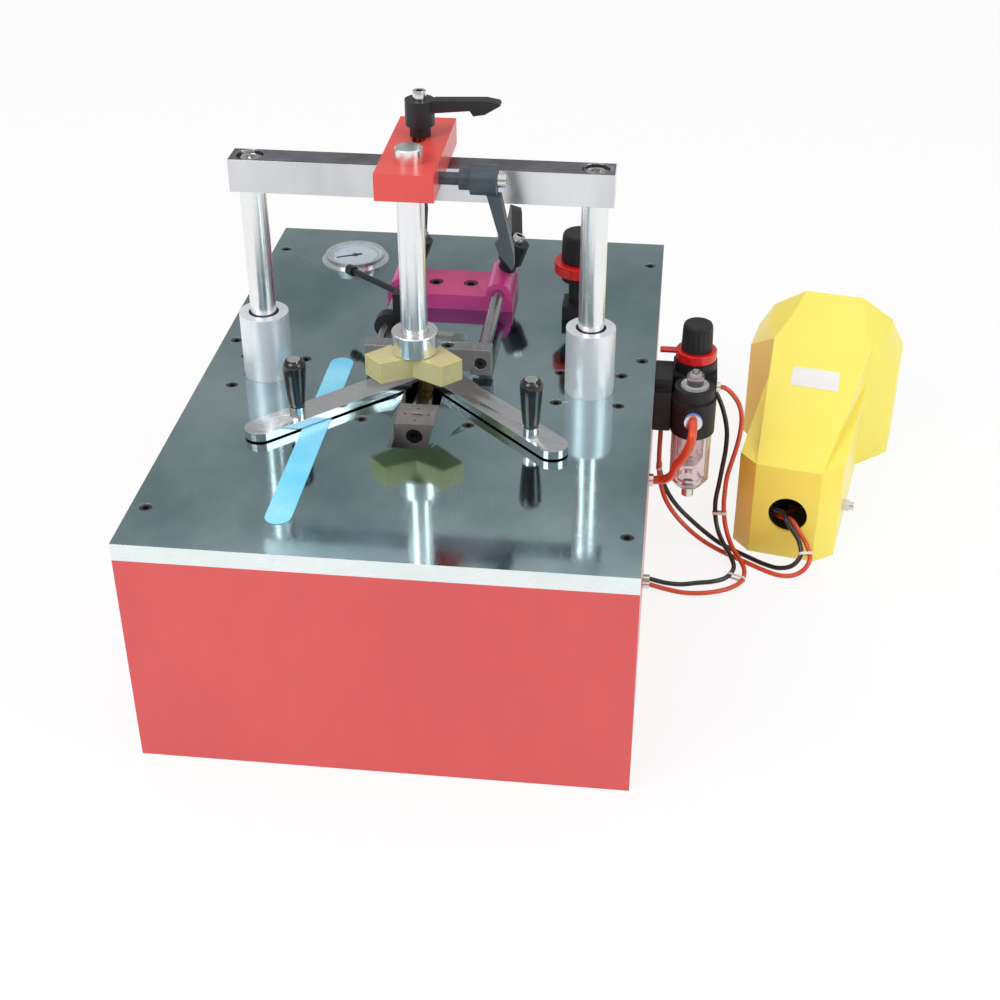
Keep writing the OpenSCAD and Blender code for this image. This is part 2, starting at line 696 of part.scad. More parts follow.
pusher_y = block_y + block_d + 62;
pusher_l = 22;
module nail_pusher() color("goldenrod") on_table()
    translate([-channel_w / 2 + gap, pusher_y, -rail_deep + 2 + gap])
        cube([channel_w - 2 * gap, pusher_l, rail_deep - rail_low - 2 - gap]);

driver_w = driver_pitch_x + 20;
module driver_barrel() color("silver") on_table() difference() {
    union() {
        translate([-driver_w / 2, driver_y - driver_pitch_y / 2 - 10, driver_head_z])
            cube([driver_w, driver_pitch_y + 20, driver_head_t]);
        translate([0, driver_y, driver_head_z - driver_barrel_h])
            cylinder(d = driver_bore + 2 * barrel_wall, h = driver_barrel_h + 1);
        for (s = driver_screws) translate([s[0], s[1], driver_head_z])
            cylinder(d = 18, h = -driver_head_z - table_t);
    }
    translate([0, driver_y, driver_head_z - driver_barrel_h + barrel_wall + 2])
        cylinder(d = driver_bore, h = driver_barrel_h - barrel_wall - 2);
    translate([0, driver_y, driver_head_z - 1])
        cylinder(d = ram_rod_d + 2 * fit, h = driver_head_t + 2);
    for (s = driver_screws) translate([s[0], s[1], -table_t]) tapped_hole(screw_d, 14);
}
ram_rod_d = 25;

ram_z = driver_head_z + driver_head_t + seat;
ram_piston_t = 13;
module driver_ram() color("gray") on_table() {
    translate([0, driver_y, ram_z - driver_head_t - driver_travel - 2 - ram_piston_t]) {
        cylinder(d = driver_bore - 2 * fit, h = ram_piston_t);
        cylinder(d = ram_rod_d, h = driver_head_t + driver_travel + 2 + ram_piston_t + 1);
    }
    translate([-block_w / 2 + 2, blade_y - 10, ram_z])
        cube([block_w - 4, driver_y - blade_y + 10 + ram_rod_d / 2, 8]);
    translate([-blade_w / 2, blade_y - blade_t / 2, ram_z + 7])
        cube([blade_w, blade_t, -ram_z - 8 - driver_travel]);
}

// Fence and its slide

module fence_bar() color("darkgray") on_table() difference() {
    translate([-bar_w / 2, bar_y, bar_lift]) cube([bar_w, bar_d, bar_h]);
    translate([-arm_pocket / 2, bar_y - 1, 0]) cube([arm_pocket, bar_d + 2, arm_top + gap]);
    translate([0, fence_y, 0]) cylinder(d = pin_d + 2 * fit, h = bar_top + 1);
    for (s = [-1, 1]) translate([s * shaft_pitch / 2, bar_y, shaft_z]) {
        rotate([90, 0, 0]) screw_hole(screw_d, bar_d - screw_d - sink + 1);
        translate([0, bar_d - shaft_seat, 0]) rotate([-90, 0, 0])
            cylinder(d = shaft_d + 2 * fit, h = bar_d);
    }
    for (s = [-1, 1]) translate([s * top_screw_x, bar_y + bar_d / 2, bar_top])
        screw_hole(screw_d, top_screw_l);
}
bar_top = bar_lift + bar_h;
arm_pocket = 76;
shaft_seat = 6;
top_screw_x = 17;
top_screw_l = 12;

module slide_shafts() color("darkgray") on_table() for (s = [-1, 1])
    translate([s * shaft_pitch / 2, bar_y + bar_d - shaft_seat, shaft_z]) rotate([-90, 0, 0])
        difference() {
            cylinder(d = shaft_d, h = shaft_end - bar_y - bar_d + shaft_seat);
            rotate([180, 0, 0]) tapped_hole(screw_d, 14);
        }

module fence_screws() color("dimgray") on_table() for (s = [-1, 1]) {
    translate([s * shaft_pitch / 2, bar_y + sink, shaft_z]) rotate([90, 0, 0])
        cap_screw(screw_d, bar_d - shaft_seat - screw_d - sink + 10);
    translate([s * top_screw_x, bar_y + bar_d / 2, bar_top - sink])
        cap_screw(screw_d, top_screw_l - 2);
}

// Pivot pin through the bar, with its head on the bar and its washer under the arms
module fence_pin() color("dimgray") on_table() translate([0, fence_y, 0]) {
    translate([0, 0, pin_low]) cylinder(d = pin_d, h = bar_top - pin_low + 1);
    translate([0, 0, bar_top]) cylinder(d = pin_d + 6, h = 3);
    translate([0, 0, pin_low]) cylinder(d = washer_d, h = arm_lift - gap - pin_low);
}
pin_low = 3 - rail_low;

// Arm along +x from its pivot; upper says which half of the lap it keeps
module arm(l, grip, upper) difference() {
    translate([0, 0, arm_z]) linear_extrude(arm_t) {
        circle(d = arm_w);
        translate([0, -arm_w / 2]) square([l, arm_w]);
        translate([l, 0]) circle(d = arm_w);
    }
    translate([0, 0, upper ? arm_z - 1 : lap_z - lap_gap / 2])
        cylinder(r = lap_r, h = arm_t / 2 + 1 + lap_gap / 2);
    translate([0, 0, arm_z - 1]) cylinder(d = pin_d + 2 * fit, h = arm_t + 2);
    translate([grip[0], grip[1], arm_top]) tapped_hole(spindle_d, arm_t - 2);
}
lap_gap = 0.4;

// Grip spindle: threaded foot, collar, stem and a cap that keeps the grip on
module spindle(grip) translate([grip[0], grip[1], 0]) {
    translate([0, 0, arm_top - arm_t + 3]) cylinder(d = spindle_d, h = arm_t - 3 + spindle_l);
    translate([0, 0, arm_top]) cylinder(d = spindle_d + 7, h = collar_h);
    translate([0, 0, arm_top + spindle_l - 2]) cylinder(d = spindle_d + 4, h = 3);
}
spindle_l = collar_h + gap + grip_h + gap;

module grip(grip) translate([grip[0], grip[1], arm_top + collar_h + gap]) difference() {
    rotate_extrude() polygon([[0, 0], [grip_d * 0.34, 0], [grip_d * 0.37, 2],
        [grip_d * 0.45, grip_h * 0.4], [grip_d / 2, grip_h * 0.75], [grip_d / 2, grip_h * 0.9],
        [grip_d * 0.44, grip_h * 0.97], [grip_d * 0.38, grip_h], [0, grip_h]]);
    translate([0, 0, -1]) cylinder(d = spindle_d + 2 * fit, h = grip_h + 2);
    translate([0, 0, grip_h - 2]) cylinder(d = spindle_d + 4 + 2 * gap, h = 3);
}

left_grip_at = [left_grip_r, left_grip_off];
right_grip_at = [right_grip_r, -right_grip_off];
module at_left_arm() on_table() translate([0, fence_y, 0]) rotate([0, 0, 180 + left_arm_a])
    children();
module at_right_arm() on_table() translate([0, fence_y, 0]) rotate([0, 0, -right_arm_a])
    children();

module left_arm() color("gainsboro") at_left_arm() {
    arm(left_arm_l, left_grip_at, true);
    spindle(left_grip_at);
}
module right_arm() color("gainsboro") at_right_arm() {
    arm(right_arm_l, right_grip_at, false);
    spindle(right_grip_at);
}
module left_grip() color("#181818") at_left_arm() grip(left_grip_at);
module right_grip() color("#181818") at_right_arm() grip(right_grip_at);

module slide_bracket() color("mediumvioletred") on_table() difference() {
    union() {
        translate([-bracket_w / 2, bracket_y, 0]) cube([bracket_w, bracket_d, bracket_t]);
        for (s = [-1, 1]) translate([s * shaft_pitch / 2, bracket_y, 0]) {
            translate([0, 0, shaft_z]) rotate([-90, 0, 0]) cylinder(d = boss_d, h = bracket_d);
            translate([-boss_d / 2, 0, 0]) cube([boss_d, bracket_d, shaft_z]);
        }
    }
    for (s = [-1, 1]) translate([s * shaft_pitch / 2, 0, shaft_z]) {
        translate([0, bracket_y - 1, 0]) rotate([-90, 0, 0])
            cylinder(d = shaft_d + 2 * fit, h = bracket_d + 2);
        translate([0, clamp_y, 0]) rotate([0, lever_tilt, 0])
            cylinder(d = stud_d + 2 * fit, h = boss_d);
    }
    for (s = bracket_screws) translate([s[0], s[1], bracket_t]) screw_hole(big_screw_d, bracket_t);
}

clamp_y = bracket_y + bracket_d * 0.65;
module bracket_lever(s, turn) on_table() translate([s * shaft_pitch / 2, clamp_y, shaft_z])
    rotate([0, lever_tilt, 0]) translate([0, 0, boss_d / 2 + gap]) {
        rotate([0, 0, turn]) lever(9, lever_l);
        stud(boss_d / 2 + gap - shaft_d / 2 - 0.4);
    }
module left_clamp_lever() color("#222222") bracket_lever(-1, lever_turn);
module right_clamp_lever() color("#222222") bracket_lever(1, lever_turn);
lever_turn = 100;

// Position lever: a clamp ring on the left shaft with a cranked bar to the left
ring_y = 345;
ring_t = 12;
lever_root = [13.5, 4, 30];
lever_tip = [-46, 60, 28];
module position_lever() color("#222222") on_table()
    translate([-shaft_pitch / 2, ring_y, shaft_z]) difference() {
        union() {
            rotate([-90, 0, 0]) cylinder(d = shaft_d + 13, h = ring_t);
            translate([lever_root[0] - 8, 0, 2]) cube([12, ring_t, lever_root[2] + 1]);
            bar_between(lever_root + [0, 4, 0], lever_tip, bar_lever_d);
            bar_between(lever_tip * 0.9 + lever_root * 0.1, lever_tip, bar_lever_d + 3.5);
        }
        translate([0, -1, 0]) rotate([-90, 0, 0]) cylinder(d = shaft_d + 2 * fit, h = ring_t + 2);
    }
module bar_between(a, b, d) {
    v = b - a;
    translate(a) rotate([0, acos(v[2] / norm(v)), atan2(v[1], v[0])]) cylinder(d = d, h = norm(v));
}

// Strip, gauge and table regulator

module blue_strip() color("deepskyblue") on_table() translate([-81.5, 40 + strip_w / 2, 0])
    linear_extrude(0.6) {
        circle(d = strip_w);
        translate([-strip_w / 2, 0]) square([strip_w, strip_l - strip_w]);
        translate([0, strip_l - strip_w]) circle(d = strip_w);
    }

gauge_can_d = gauge_d - 6;
gauge_rim_d = gauge_can_d - 2;
gauge_face_d = gauge_rim_d - 6;
module at_gauge() on_table() translate([-gauge_x, gauge_y, 0]) children();
module gauge_case() color("silver") at_gauge() difference() {
    union() {
        cylinder(d = gauge_d, h = 2);
        cylinder(d = gauge_rim_d, h = gauge_h);
        translate([0, 0, -28]) cylinder(d = gauge_can_d, h = 29);
        translate([0, 0, -42]) cylinder(d = 12, h = 16);
    }
    translate([0, 0, -26]) cylinder(d = gauge_face_d - 3, h = 40);
    translate([0, 0, dial_z]) cylinder(d = gauge_face_d, h = gauge_h);
    translate([0, 0, -43]) cylinder(d = 4, h = 12, $fn = 16);
}
dial_z = 3.5;
needle_z = dial_z + 1 + gap;
module gauge_dial() color("white") at_gauge() translate([0, 0, dial_z])
    ring(gauge_face_d - 2 * fit, 2 + 2 * fit, 1);
module gauge_glass() color([0.8, 0.9, 1, 0.3]) at_gauge() translate([0, 0, gauge_h - 1.8])
    cylinder(d = gauge_face_d - 2 * fit, h = 1.5);
needle_a = 205;
needle_l = gauge_face_d / 2 - 7;
module gauge_needle() color("black") at_gauge() {
    translate([0, 0, -8]) cylinder(d = 2, h = 8 + needle_z + 0.5);
    translate([0, 0, needle_z]) rotate([0, 0, needle_a]) linear_extrude(0.7) {
        circle(d = 6);
        polygon([[-7, -1], [needle_l, -0.4], [needle_l, 0.4], [-7, 1]]);
    }
}

module at_regulator() on_table() translate([regulator_x, regulator_y, 0]) children();
module regulator_body() color("#222222") at_regulator() {
    translate([-regulator_foot / 2, -regulator_foot / 2, 0])
        cube([regulator_foot, regulator_foot, foot_plate_h]);
    translate([0, 0, foot_plate_h - 1])
        cylinder(d = regulator_neck_d, h = regulator_h - foot_plate_h);
    translate([0, 0, regulator_h - bonnet_h]) cylinder(d = regulator_d, h = bonnet_h);
    translate([0, 0, regulator_h - 1]) cylinder(d = stem_d, h = regulator_ring_h + 6);
    translate([0, 0, -table_t + 3]) cylinder(d = big_screw_d, h = table_t);
}
foot_plate_h = 14;
bonnet_h = 8;
stem_d = regulator_d - 10;
ring_h = 9;
module ribbed_knob(d, h, bore, deep) difference() {
    union() {
        cylinder(d = d - 1.6, h = h * 0.93);
        translate([0, 0, h * 0.93 - 0.01]) cylinder(d = d - 5, h = h * 0.07 + 0.01);
        for (a = [0:20:340]) rotate([0, 0, a]) translate([d / 2 - 2, -1.3, 0])
            cube([2, 2.6, h * 0.85]);
    }
    translate([0, 0, -1]) cylinder(d = bore + 2 * fit, h = deep + 1);
}
module regulator_knob() color("#222222") at_regulator()
    translate([0, 0, regulator_h + regulator_ring_h + gap])
        ribbed_knob(regulator_d + 1, knob_h, stem_d, 6);

module at_filter() on_table() translate([air_x, filter_y, air_top]) children();
module lock_rings() color("red") {
    at_regulator() translate([0, 0, regulator_h])
        ring(regulator_ring_d, stem_d + 2 * fit, regulator_ring_h);
    at_filter() {
        ring(air_w - 3, air_neck_d + 2 * fit, ring_h);
        difference() {
            translate([-air_w / 2 - air_gap + 3, -4, ring_h - 4]) cube([air_gap + 8, 8, 3]);
            translate([0, 0, -1]) cylinder(d = air_w - 4, h = 20);
        }
    }
}

// Air unit on the right side: filter regulator behind, lubricator in front

air_neck_d = 20;
module air_bodies() color("#1c1c1c") on_table() {
    translate([air_x, filter_y, 0]) difference() {
        union() {
            translate([-air_w / 2, -air_w / 2 + 0.5, air_top - air_h])
                cube([air_w, air_w - 1, air_h - 10]);
            translate([0, 0, air_top - 11]) cylinder(d = air_w - 2, h = 11);
            translate([0, 0, air_top - 1]) cylinder(d = air_neck_d, h = ring_h + 16);
        }
        translate([0, 0, air_top - air_h - 1]) cylinder(d = bowl_d - 8 + 2 * fit, h = 21);
    }
    translate([air_x, lubricator_y, 0]) difference() {
        union() {
            translate([0, 0, lube_top - lube_h]) cylinder(d = air_w, h = lube_h - 11);
            translate([0, 0, lube_top - 13]) cylinder(d = lube_w, h = 13);
            translate([0, 0, lube_top - 1]) cylinder(d = dome_d + 10, h = 3);
            translate([0, 3 - air_w / 2, port_z]) rotate([90, 0, 0]) cylinder(d = 18, h = 3 + port_l);
        }
        translate([0, 0, lube_top - lube_h - 1]) cylinder(d = bowl_d - 8 + 2 * fit, h = 21);
    }
    translate([air_x - 12, lubricator_y + air_w / 2 - 5, air_top - air_h + 6])
        cube([24, air_pitch - air_w + 5.5, air_h - 24]);
}
dome_d = 15;
port_z = -31;
port_l = 3;

module bowl(h) difference() {
    union() {
        translate([0, 0, 8]) cylinder(d = bowl_d, h = h - 8 - seat);
        cylinder(d1 = bowl_d - 12, d2 = bowl_d, h = 8.01, $fn = 48);
        translate([0, 0, h - 1]) cylinder(d = bowl_d - 8, h = 16);
    }
    translate([0, 0, 4]) cylinder(d = bowl_d - 14, h = h + 30);
    translate([0, 0, 9]) cylinder(d = bowl_d - 5, h = h - 12);
}
module air_bowls() color([0.9, 0.75, 0.75, 0.45]) on_table() {
    translate([air_x, filter_y, bowl_z]) bowl(bowl_h);
    translate([air_x, lubricator_y, bowl_z]) bowl(lube_top - lube_h - bowl_z);
    translate([air_x, lubricator_y, lube_top + 2]) {
        cylinder(d = dome_d, h = 9);
        translate([0, 0, 8.99]) cylinder(d1 = dome_d, d2 = dome_d - 7, h = 4, $fn = 48);
    }
}

module air_knob() color("#222222") at_filter() translate([0, 0, ring_h + gap])
    ribbed_knob(air_knob_d, air_knob_h, air_neck_d, 16);

module air_bracket() color("#1c1c1c") on_table() {
    translate([table_w / 2, lubricator_y - 6, -table_t - 40])
        cube([air_gap, air_pitch + 10, 38]);
    translate([table_w / 2, lubricator_y + 2, -table_t - 3])
        cube([air_gap, air_pitch - 6, 12]);
}

// Bowl drains, tube fittings and ports; each tube ends square on its fitting's face

module fitting(d, bore, l) difference() {
    union() {
        cylinder(d = d, h = l);
        translate([0, 0, -3]) cylinder(d = d - 2, h = 4);
    }
    translate([0, 0, 2]) cylinder(d = bore - 1, h = l);
}
module tube_fittings() color("silver") on_table() {
    for (y = [filter_y, lubricator_y]) translate([air_x, y, bowl_z - drain_l])
        cylinder(d = 11, h = drain_l);
    translate([air_x, lubricator_y - air_w / 2 - port_l, port_z]) rotate([90, 0, 0]) {
        cylinder(d = 14, h = 4);
        translate([0, 0, 4]) fitting(16, hose_d, inlet_l);
    }
    translate([air_x + air_w / 2, filter_y, feed_z]) rotate([0, 90, 0])
        cylinder(d = tube_d + 4, h = side_port_l);
    translate([air_x, filter_y + air_w / 2 - 0.5, feed_z]) rotate([-90, 0, 0])
        cylinder(d = tube_d + 6, h = rear_port_l);
    translate([table_w / 2, hose_port[0], hose_port[1]]) rotate([0, 90, 0])
        fitting(hose_d + 4, hose_d, gland_l);
    for (p = feed_ports) translate([table_w / 2, p[0], p[1]]) rotate([0, 90, 0])
        fitting(tube_d + 3.6, tube_d, gland_l + 2);
    for (p = pedal_ports) translate([table_w / 2, p[0], p[1]]) {
        translate([-3, 0, 0]) rotate([0, 90, 0]) cylinder(d = tube_d + 1, h = 5);
        translate([elbow_x, 0, -10]) cylinder(d = tube_d + 1.8, h = 16);
        translate([0, -tube_d / 2 - 0.9, -4]) cube([elbow_x, tube_d + 1.8, tube_d + 2]);
    }
    at_pedal() for (x = [4.5, -5.5]) translate([x, valve_u - 6, valve_port_w]) rotate([-90, 0, 0])
        cylinder(d = tube_d + 2, h = 6);
}
drain_l = 12;
feed_z = -33;
inlet_l = 4;
gland_l = 4;
elbow_x = 8;
side_port_l = 4;
rear_port_l = 10.5;

module supply_hose() color("coral") on_table() swept(hose_route, hose_d, 8);
module pedal_tubes() color("tomato") on_table() {
    swept(pedal_route_a, tube_d, 8);
    swept(pedal_route_b, tube_d, 8);
}
module feed_tubes() color("tomato") on_table() {
    swept(feed_route_a, tube_d, 8);
    swept(feed_route_b, tube_d, 8);
}

block_l = 90;
block_w_in = 42;
block_h_in = 38;
module valve_block() color("silver") on_table()
    translate([50 - table_w / 2, table_d - 130, -top_z + base_t]) difference() {
        cube([block_l, block_w_in, block_h_in]);
        for (i = [0:3]) translate([block_l * (i + 0.75) / 4.5, block_w_in / 2, block_h_in - 8])
            cylinder(d = 9, h = 9, $fn = 24);
    }

// Foot pedal

heel_bevel = 17;
flare_u = 192;
flare_end_u = 228;
shoulder_h = 105;
hole_w = 48;
spine_w = 62;
module heel_plan(inset) polygon([[-spine_w / 2 + inset * 0.4, inset],
    [-heel_w / 2 + inset, heel_bevel + inset * 0.6], [-heel_w / 2 + inset, flare_u + 1 + inset],
    [heel_w / 2 - inset, flare_u + 1 + inset], [heel_w / 2 - inset, heel_bevel + inset * 0.6],
    [spine_w / 2 - inset * 0.4, inset]]);

// Corner points of the hood, mirrored about its middle
module corners(list) hull() for (p = list) for (s = [-1, 1]) translate([s * p[0], p[1], p[2]])
    cube(0.01, center = true);
function spine(n) = [[spine_w / 2 - n, n, heel_h - n], [23 - n * 0.5, 56, heel_h + 10 - n],
    [heel_w / 2 - n, flare_u + n, heel_h - n], [heel_w / 2 - n, flare_u + n, heel_h + 36 - n],
    [spine_w / 2 - n, n, heel_h - 4], [24 - n, 56, heel_h - 4], [heel_w / 2 - n, flare_u + n, 60]];
function toe(n, l) = [[heel_w / 2 - n, flare_u + n, -n], [heel_w / 2 - n, flare_u + n, heel_h + 36 - n],
    [toe_w / 2 - n, flare_end_u, -n], [toe_w / 2 - n, l, -n],
    [toe_w / 2 - n, flare_end_u, shoulder_h - n], [toe_w / 2 - n, l, shoulder_h - n],
    [62 - n, flare_end_u, 128 - n], [62 - n, l, 132 - n],
    [38 - n, flare_end_u, toe_h - 8 - n], [30 - n, l, toe_h - n]];

module pedal_hood() color("gold") on_table() at_pedal() difference() {
    union() {
        linear_extrude(heel_h) heel_plan(0);
        corners(spine(0));
        corners(toe(0, hood_l));
    }
    translate([0, 0, -1]) linear_extrude(heel_h - hood_wall + 1) heel_plan(hood_wall);
    corners(spine(hood_wall));
    corners(toe(hood_wall, hood_l + 3));
    translate([3, -1, hole_w]) rotate([-90, 0, 0]) cylinder(d = hole_d, h = hood_wall + 3);
    translate([-heel_w, hinge_u, hinge_w]) rotate([0, 90, 0])
        cylinder(d = bolt_d + 2 * fit, h = 2 * heel_w);
    translate([-toe_w, 0, -5]) cube([2 * toe_w, hood_l + 5, 5]);
}

module pedal_base() color("dimgray") on_table() at_pedal() difference() {
    linear_extrude(5) union() {
        heel_plan(hood_wall + gap);
        polygon([for (p = [[-1, 0], [-1, 1], [-1, 2], [1, 2], [1, 1], [1, 0]])
            p[0] * [base_half(p[1]), 0] + [0, base_u(p[1])]]);
    }
    for (x = [-30, 30]) translate([x, 240, -1]) cylinder(d = 7, h = 8, $fn = 24);
}
function base_half(i) = i == 0 ? heel_w / 2 - hood_wall - gap : toe_w / 2 - hood_wall - gap;
function base_u(i) = [flare_u + hood_wall + gap, flare_end_u + 4, hood_l - 4][i];

module pedal_bolt() color("silver") on_table() at_pedal() translate([0, hinge_u, hinge_w])
    rotate([0, 90, 0]) {
        translate([0, 0, -heel_w / 2 - 5]) cylinder(d = 1.6 * bolt_d, h = 5, $fn = 6);
        translate([0, 0, -heel_w / 2 - 1]) cylinder(d = bolt_d, h = heel_w + 12);
        translate([0, 0, heel_w / 2]) cylinder(d = 1.6 * bolt_d, h = 7, $fn = 6);
    }

tread_a = 6;
tread_t = 4;
hub_out = 18;
module treadle() color("#303030") on_table() at_pedal() translate([0, hinge_u, hinge_w])
    rotate([tread_a, 0, 0]) difference() {
        union() {
            translate([-treadle_w / 2, 0, hub_out / 2 - tread_t])
                cube([treadle_w, treadle_l, tread_t]);
            translate([-treadle_w / 2, 0, 0]) rotate([0, 90, 0])
                cylinder(d = hub_out, h = treadle_w);
        }
        translate([-treadle_w / 2 - 1, 0, 0]) rotate([0, 90, 0])
            cylinder(d = bolt_d + 2 * fit, h = treadle_w + 2);
    }

// Height of the treadle's underside at u from the heel
function under_tread(u) = hinge_w + (u - hinge_u) * tan(tread_a)
    + (hub_out / 2 - tread_t) / cos(tread_a);
valve_u = hinge_u + 24;
valve_l = 40;
valve_h = 25;
valve_port_w = 14;
plunger_u = valve_u + 21;
plunger_d = 8;
module pedal_valve() color("gray") on_table() at_pedal() difference() {
    translate([-20, valve_u, 5]) cube([40, valve_l, valve_h]);
    translate([0, plunger_u, 9]) cylinder(d = plunger_d + 2 * fit, h = valve_h);
}
module valve_plunger() color("goldenrod") on_table() at_pedal()
    translate([0, plunger_u, 5 + valve_h - 9])
        cylinder(d = plunger_d, h = under_tread(plunger_u - plunger_d / 2) - gap - 5 - valve_h + 9);

spring_u = hinge_u + 100;
pedal_wire = 2.4;
module pedal_spring() color("silver") on_table() at_pedal()
    translate([0, spring_u, 5 + pedal_wire / 2 + 0.6])
        swept(coil(9, under_tread(spring_u - 10) - 5 - pedal_wire - 1.1, 6), pedal_wire, 6);

cabinet();
base_plate();
table();
table_screws();
guide_sleeves();
rod_wipers();
clamp_barrels();
driver_barrel();
nail_block();
magazine_rail();
slide_bracket();
blue_strip();
gauge_case();
gauge_dial();
gauge_glass();
gauge_needle();
valve_block();
regulator_body();
regulator_knob();
lock_rings();
air_bracket();
air_bodies();
air_bowls();
air_knob();
tube_fittings();
pedal_base();
pedal_hood();
pedal_valve();
valve_plunger();
pedal_bolt();
treadle();
pedal_spring();
supply_hose();
pedal_tubes();
feed_tubes();
crossbar();
crossbar_screws();
column_rods();
clamp_pistons();
head_block();
top_lever();
side_lever();
press_rod();
press_foot();
press_pad();
fence_bar();
slide_shafts();
fence_screws();
fence_pin();
left_arm();
right_arm();
left_grip();
right_grip();
position_lever();
left_clamp_lever();
right_clamp_lever();
driver_ram();
nail_pusher();
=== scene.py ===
import json
import math
import bmesh
import bpy
import numpy as np
from mathutils import Matrix, Vector
from mathutils.bvhtree import BVHTree


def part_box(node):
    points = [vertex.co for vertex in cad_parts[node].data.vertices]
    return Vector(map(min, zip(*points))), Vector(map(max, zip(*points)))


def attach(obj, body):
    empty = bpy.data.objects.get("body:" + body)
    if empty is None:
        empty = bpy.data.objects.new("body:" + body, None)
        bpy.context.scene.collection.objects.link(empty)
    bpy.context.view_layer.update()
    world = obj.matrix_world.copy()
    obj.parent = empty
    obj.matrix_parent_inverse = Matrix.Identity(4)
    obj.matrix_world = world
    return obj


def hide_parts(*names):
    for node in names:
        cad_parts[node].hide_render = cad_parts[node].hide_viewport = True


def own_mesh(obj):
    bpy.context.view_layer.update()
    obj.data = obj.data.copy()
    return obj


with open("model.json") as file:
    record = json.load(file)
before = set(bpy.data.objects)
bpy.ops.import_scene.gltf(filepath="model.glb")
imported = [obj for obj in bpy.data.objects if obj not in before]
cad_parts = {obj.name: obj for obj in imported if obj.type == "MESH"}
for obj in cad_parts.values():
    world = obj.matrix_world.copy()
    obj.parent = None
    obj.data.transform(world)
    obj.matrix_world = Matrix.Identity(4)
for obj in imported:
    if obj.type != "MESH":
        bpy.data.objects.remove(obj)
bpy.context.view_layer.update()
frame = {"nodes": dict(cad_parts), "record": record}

nodes = frame["nodes"]
bodyOf = {n: b for b, members in frame["record"]["behaviour"]["bodies"].items() for n in members}
print("frame loaded:", len(nodes), "nodes")

# The table's front edge and top are the datum of most sizes here, in millimetres, as in the part's source
datum = {"tableDepth": 595.0, "tableTop": 209.0, "pedalX": 330.0, "pedalY": 344.0, "pedalTurn": 11.0}


def atTable(points):  # metres in the frame, from millimetres counted from the table's front edge and top
    p = np.atleast_2d(np.asarray(points, float))
    return (p + np.array([0, -datum["tableDepth"] / 2, datum["tableTop"]])) / 1000


def pedalPoint(x, y, z):  # table millimetres of a point given in the pedal's own frame
    c = math.cos(math.radians(datum["pedalTurn"]))
    s = math.sin(math.radians(datum["pedalTurn"]))
    return [datum["pedalX"] + x * c + y * s, datum["pedalY"] - x * s + y * c, z - datum["tableTop"]]


def placeAt(point, *turns):  # a frame at a table point, turned about its own axes by (axis, degrees)
    m = Matrix.Translation(Vector(atTable(point)[0]))
    for axis, degrees in turns:
        m = m @ Matrix.Rotation(math.radians(degrees), 4, axis)
    return m


# Camera

cameraView = {"place": (0.2063, -1.253, 0.8948), "forward": (-0.0957, 0.8331, -0.5448),
              "roll": -0.09, "lens": 57.81, "sensor": 36.0, "picture": 1000.0}

cameraData = bpy.data.cameras.new("camera")
cameraData.lens = cameraView["lens"]
cameraData.sensor_width = cameraView["sensor"]
cameraData.clip_end = 30
camera = bpy.data.objects.new("camera", cameraData)
bpy.context.scene.collection.objects.link(camera)
aim = Vector(cameraView["forward"]).to_track_quat("-Z", "Y").to_matrix().to_4x4()
roll = Matrix.Rotation(math.radians(cameraView["roll"]), 4, "Z")
cameraPlace = Matrix.Translation(cameraView["place"]) @ aim @ roll
camera.matrix_world = cameraPlace
bpy.context.scene.camera = camera
bpy.context.scene.view_settings.view_transform = "Standard"
focal = cameraView["lens"] / cameraView["sensor"] * cameraView["picture"]
print("camera set")


def pixelsOf(points):  # picture coordinates of points in metres
    inverse = np.array(cameraPlace.inverted())
    p = np.c_[points, np.ones(len(points))] @ inverse.T
    half = cameraView["picture"] / 2
    return np.c_[half + focal * p[:, 0] / -p[:, 2], half - focal * p[:, 1] / -p[:, 2]]


def pixelRay(u, v):  # direction in the frame from the camera through a picture point
    half = cameraView["picture"] / 2
    d = Vector(((u - half) / focal, -(v - half) / focal, -1.0))
    return (cameraPlace.to_3x3() @ d).normalized()


# Node groups that more than one finish uses


def newGroup(name, inputs, outputs):
    g = bpy.data.node_groups.new(name, "ShaderNodeTree")
    for label, kind, value in inputs:
        s = g.interface.new_socket(name=label, in_out="INPUT", socket_type="NodeSocket" + kind)
        s.default_value = value
    for label, kind in outputs:
        g.interface.new_socket(name=label, in_out="OUTPUT", socket_type="NodeSocket" + kind)
    return g, g.nodes.new("NodeGroupInput"), g.nodes.new("NodeGroupOutput")


def node(tree, kind, values=(), **settings):
    n = tree.nodes.new("ShaderNode" + kind)
    for k, v in settings.items():
        setattr(n, k, v)
    for k, v in dict(values).items():
        if hasattr(v, "links"):
            tree.links.new(v, n.inputs[k])
        else:
            n.inputs[k].default_value = v
    return n


def clouds():
    # Two sizes of noise: a soft mask, stains on most finishes and painted reflection on the crossbar and
    # table, and a finer one of dust
    g, i, o = newGroup("clouds", [("Scale", "Float", 12.0), ("Stretch", "Vector", (1, 1, 1))],
                       [("Mask", "Float"), ("Fine", "Float")])
    place = node(g, "TexCoord")
    move = node(g, "Mapping", {"Vector": place.outputs["Object"], "Scale": i.outputs["Stretch"]})
    big = node(g, "TexNoise", {"Vector": move.outputs[0], "Scale": i.outputs["Scale"],
                               "Detail": 4.0, "Roughness": 0.55})
    finer = node(g, "Math", {0: i.outputs["Scale"], 1: 9.0}, operation="MULTIPLY")
    small = node(g, "TexNoise", {"Vector": move.outputs[0], "Scale": finer.outputs[0], "Detail": 3.0})
    soft = node(g, "MapRange", {"Value": big.outputs[0], "From Min": 0.32, "From Max": 0.68})
    g.links.new(soft.outputs[0], o.inputs["Mask"])
    g.links.new(small.outputs[0], o.inputs["Fine"])
    return g


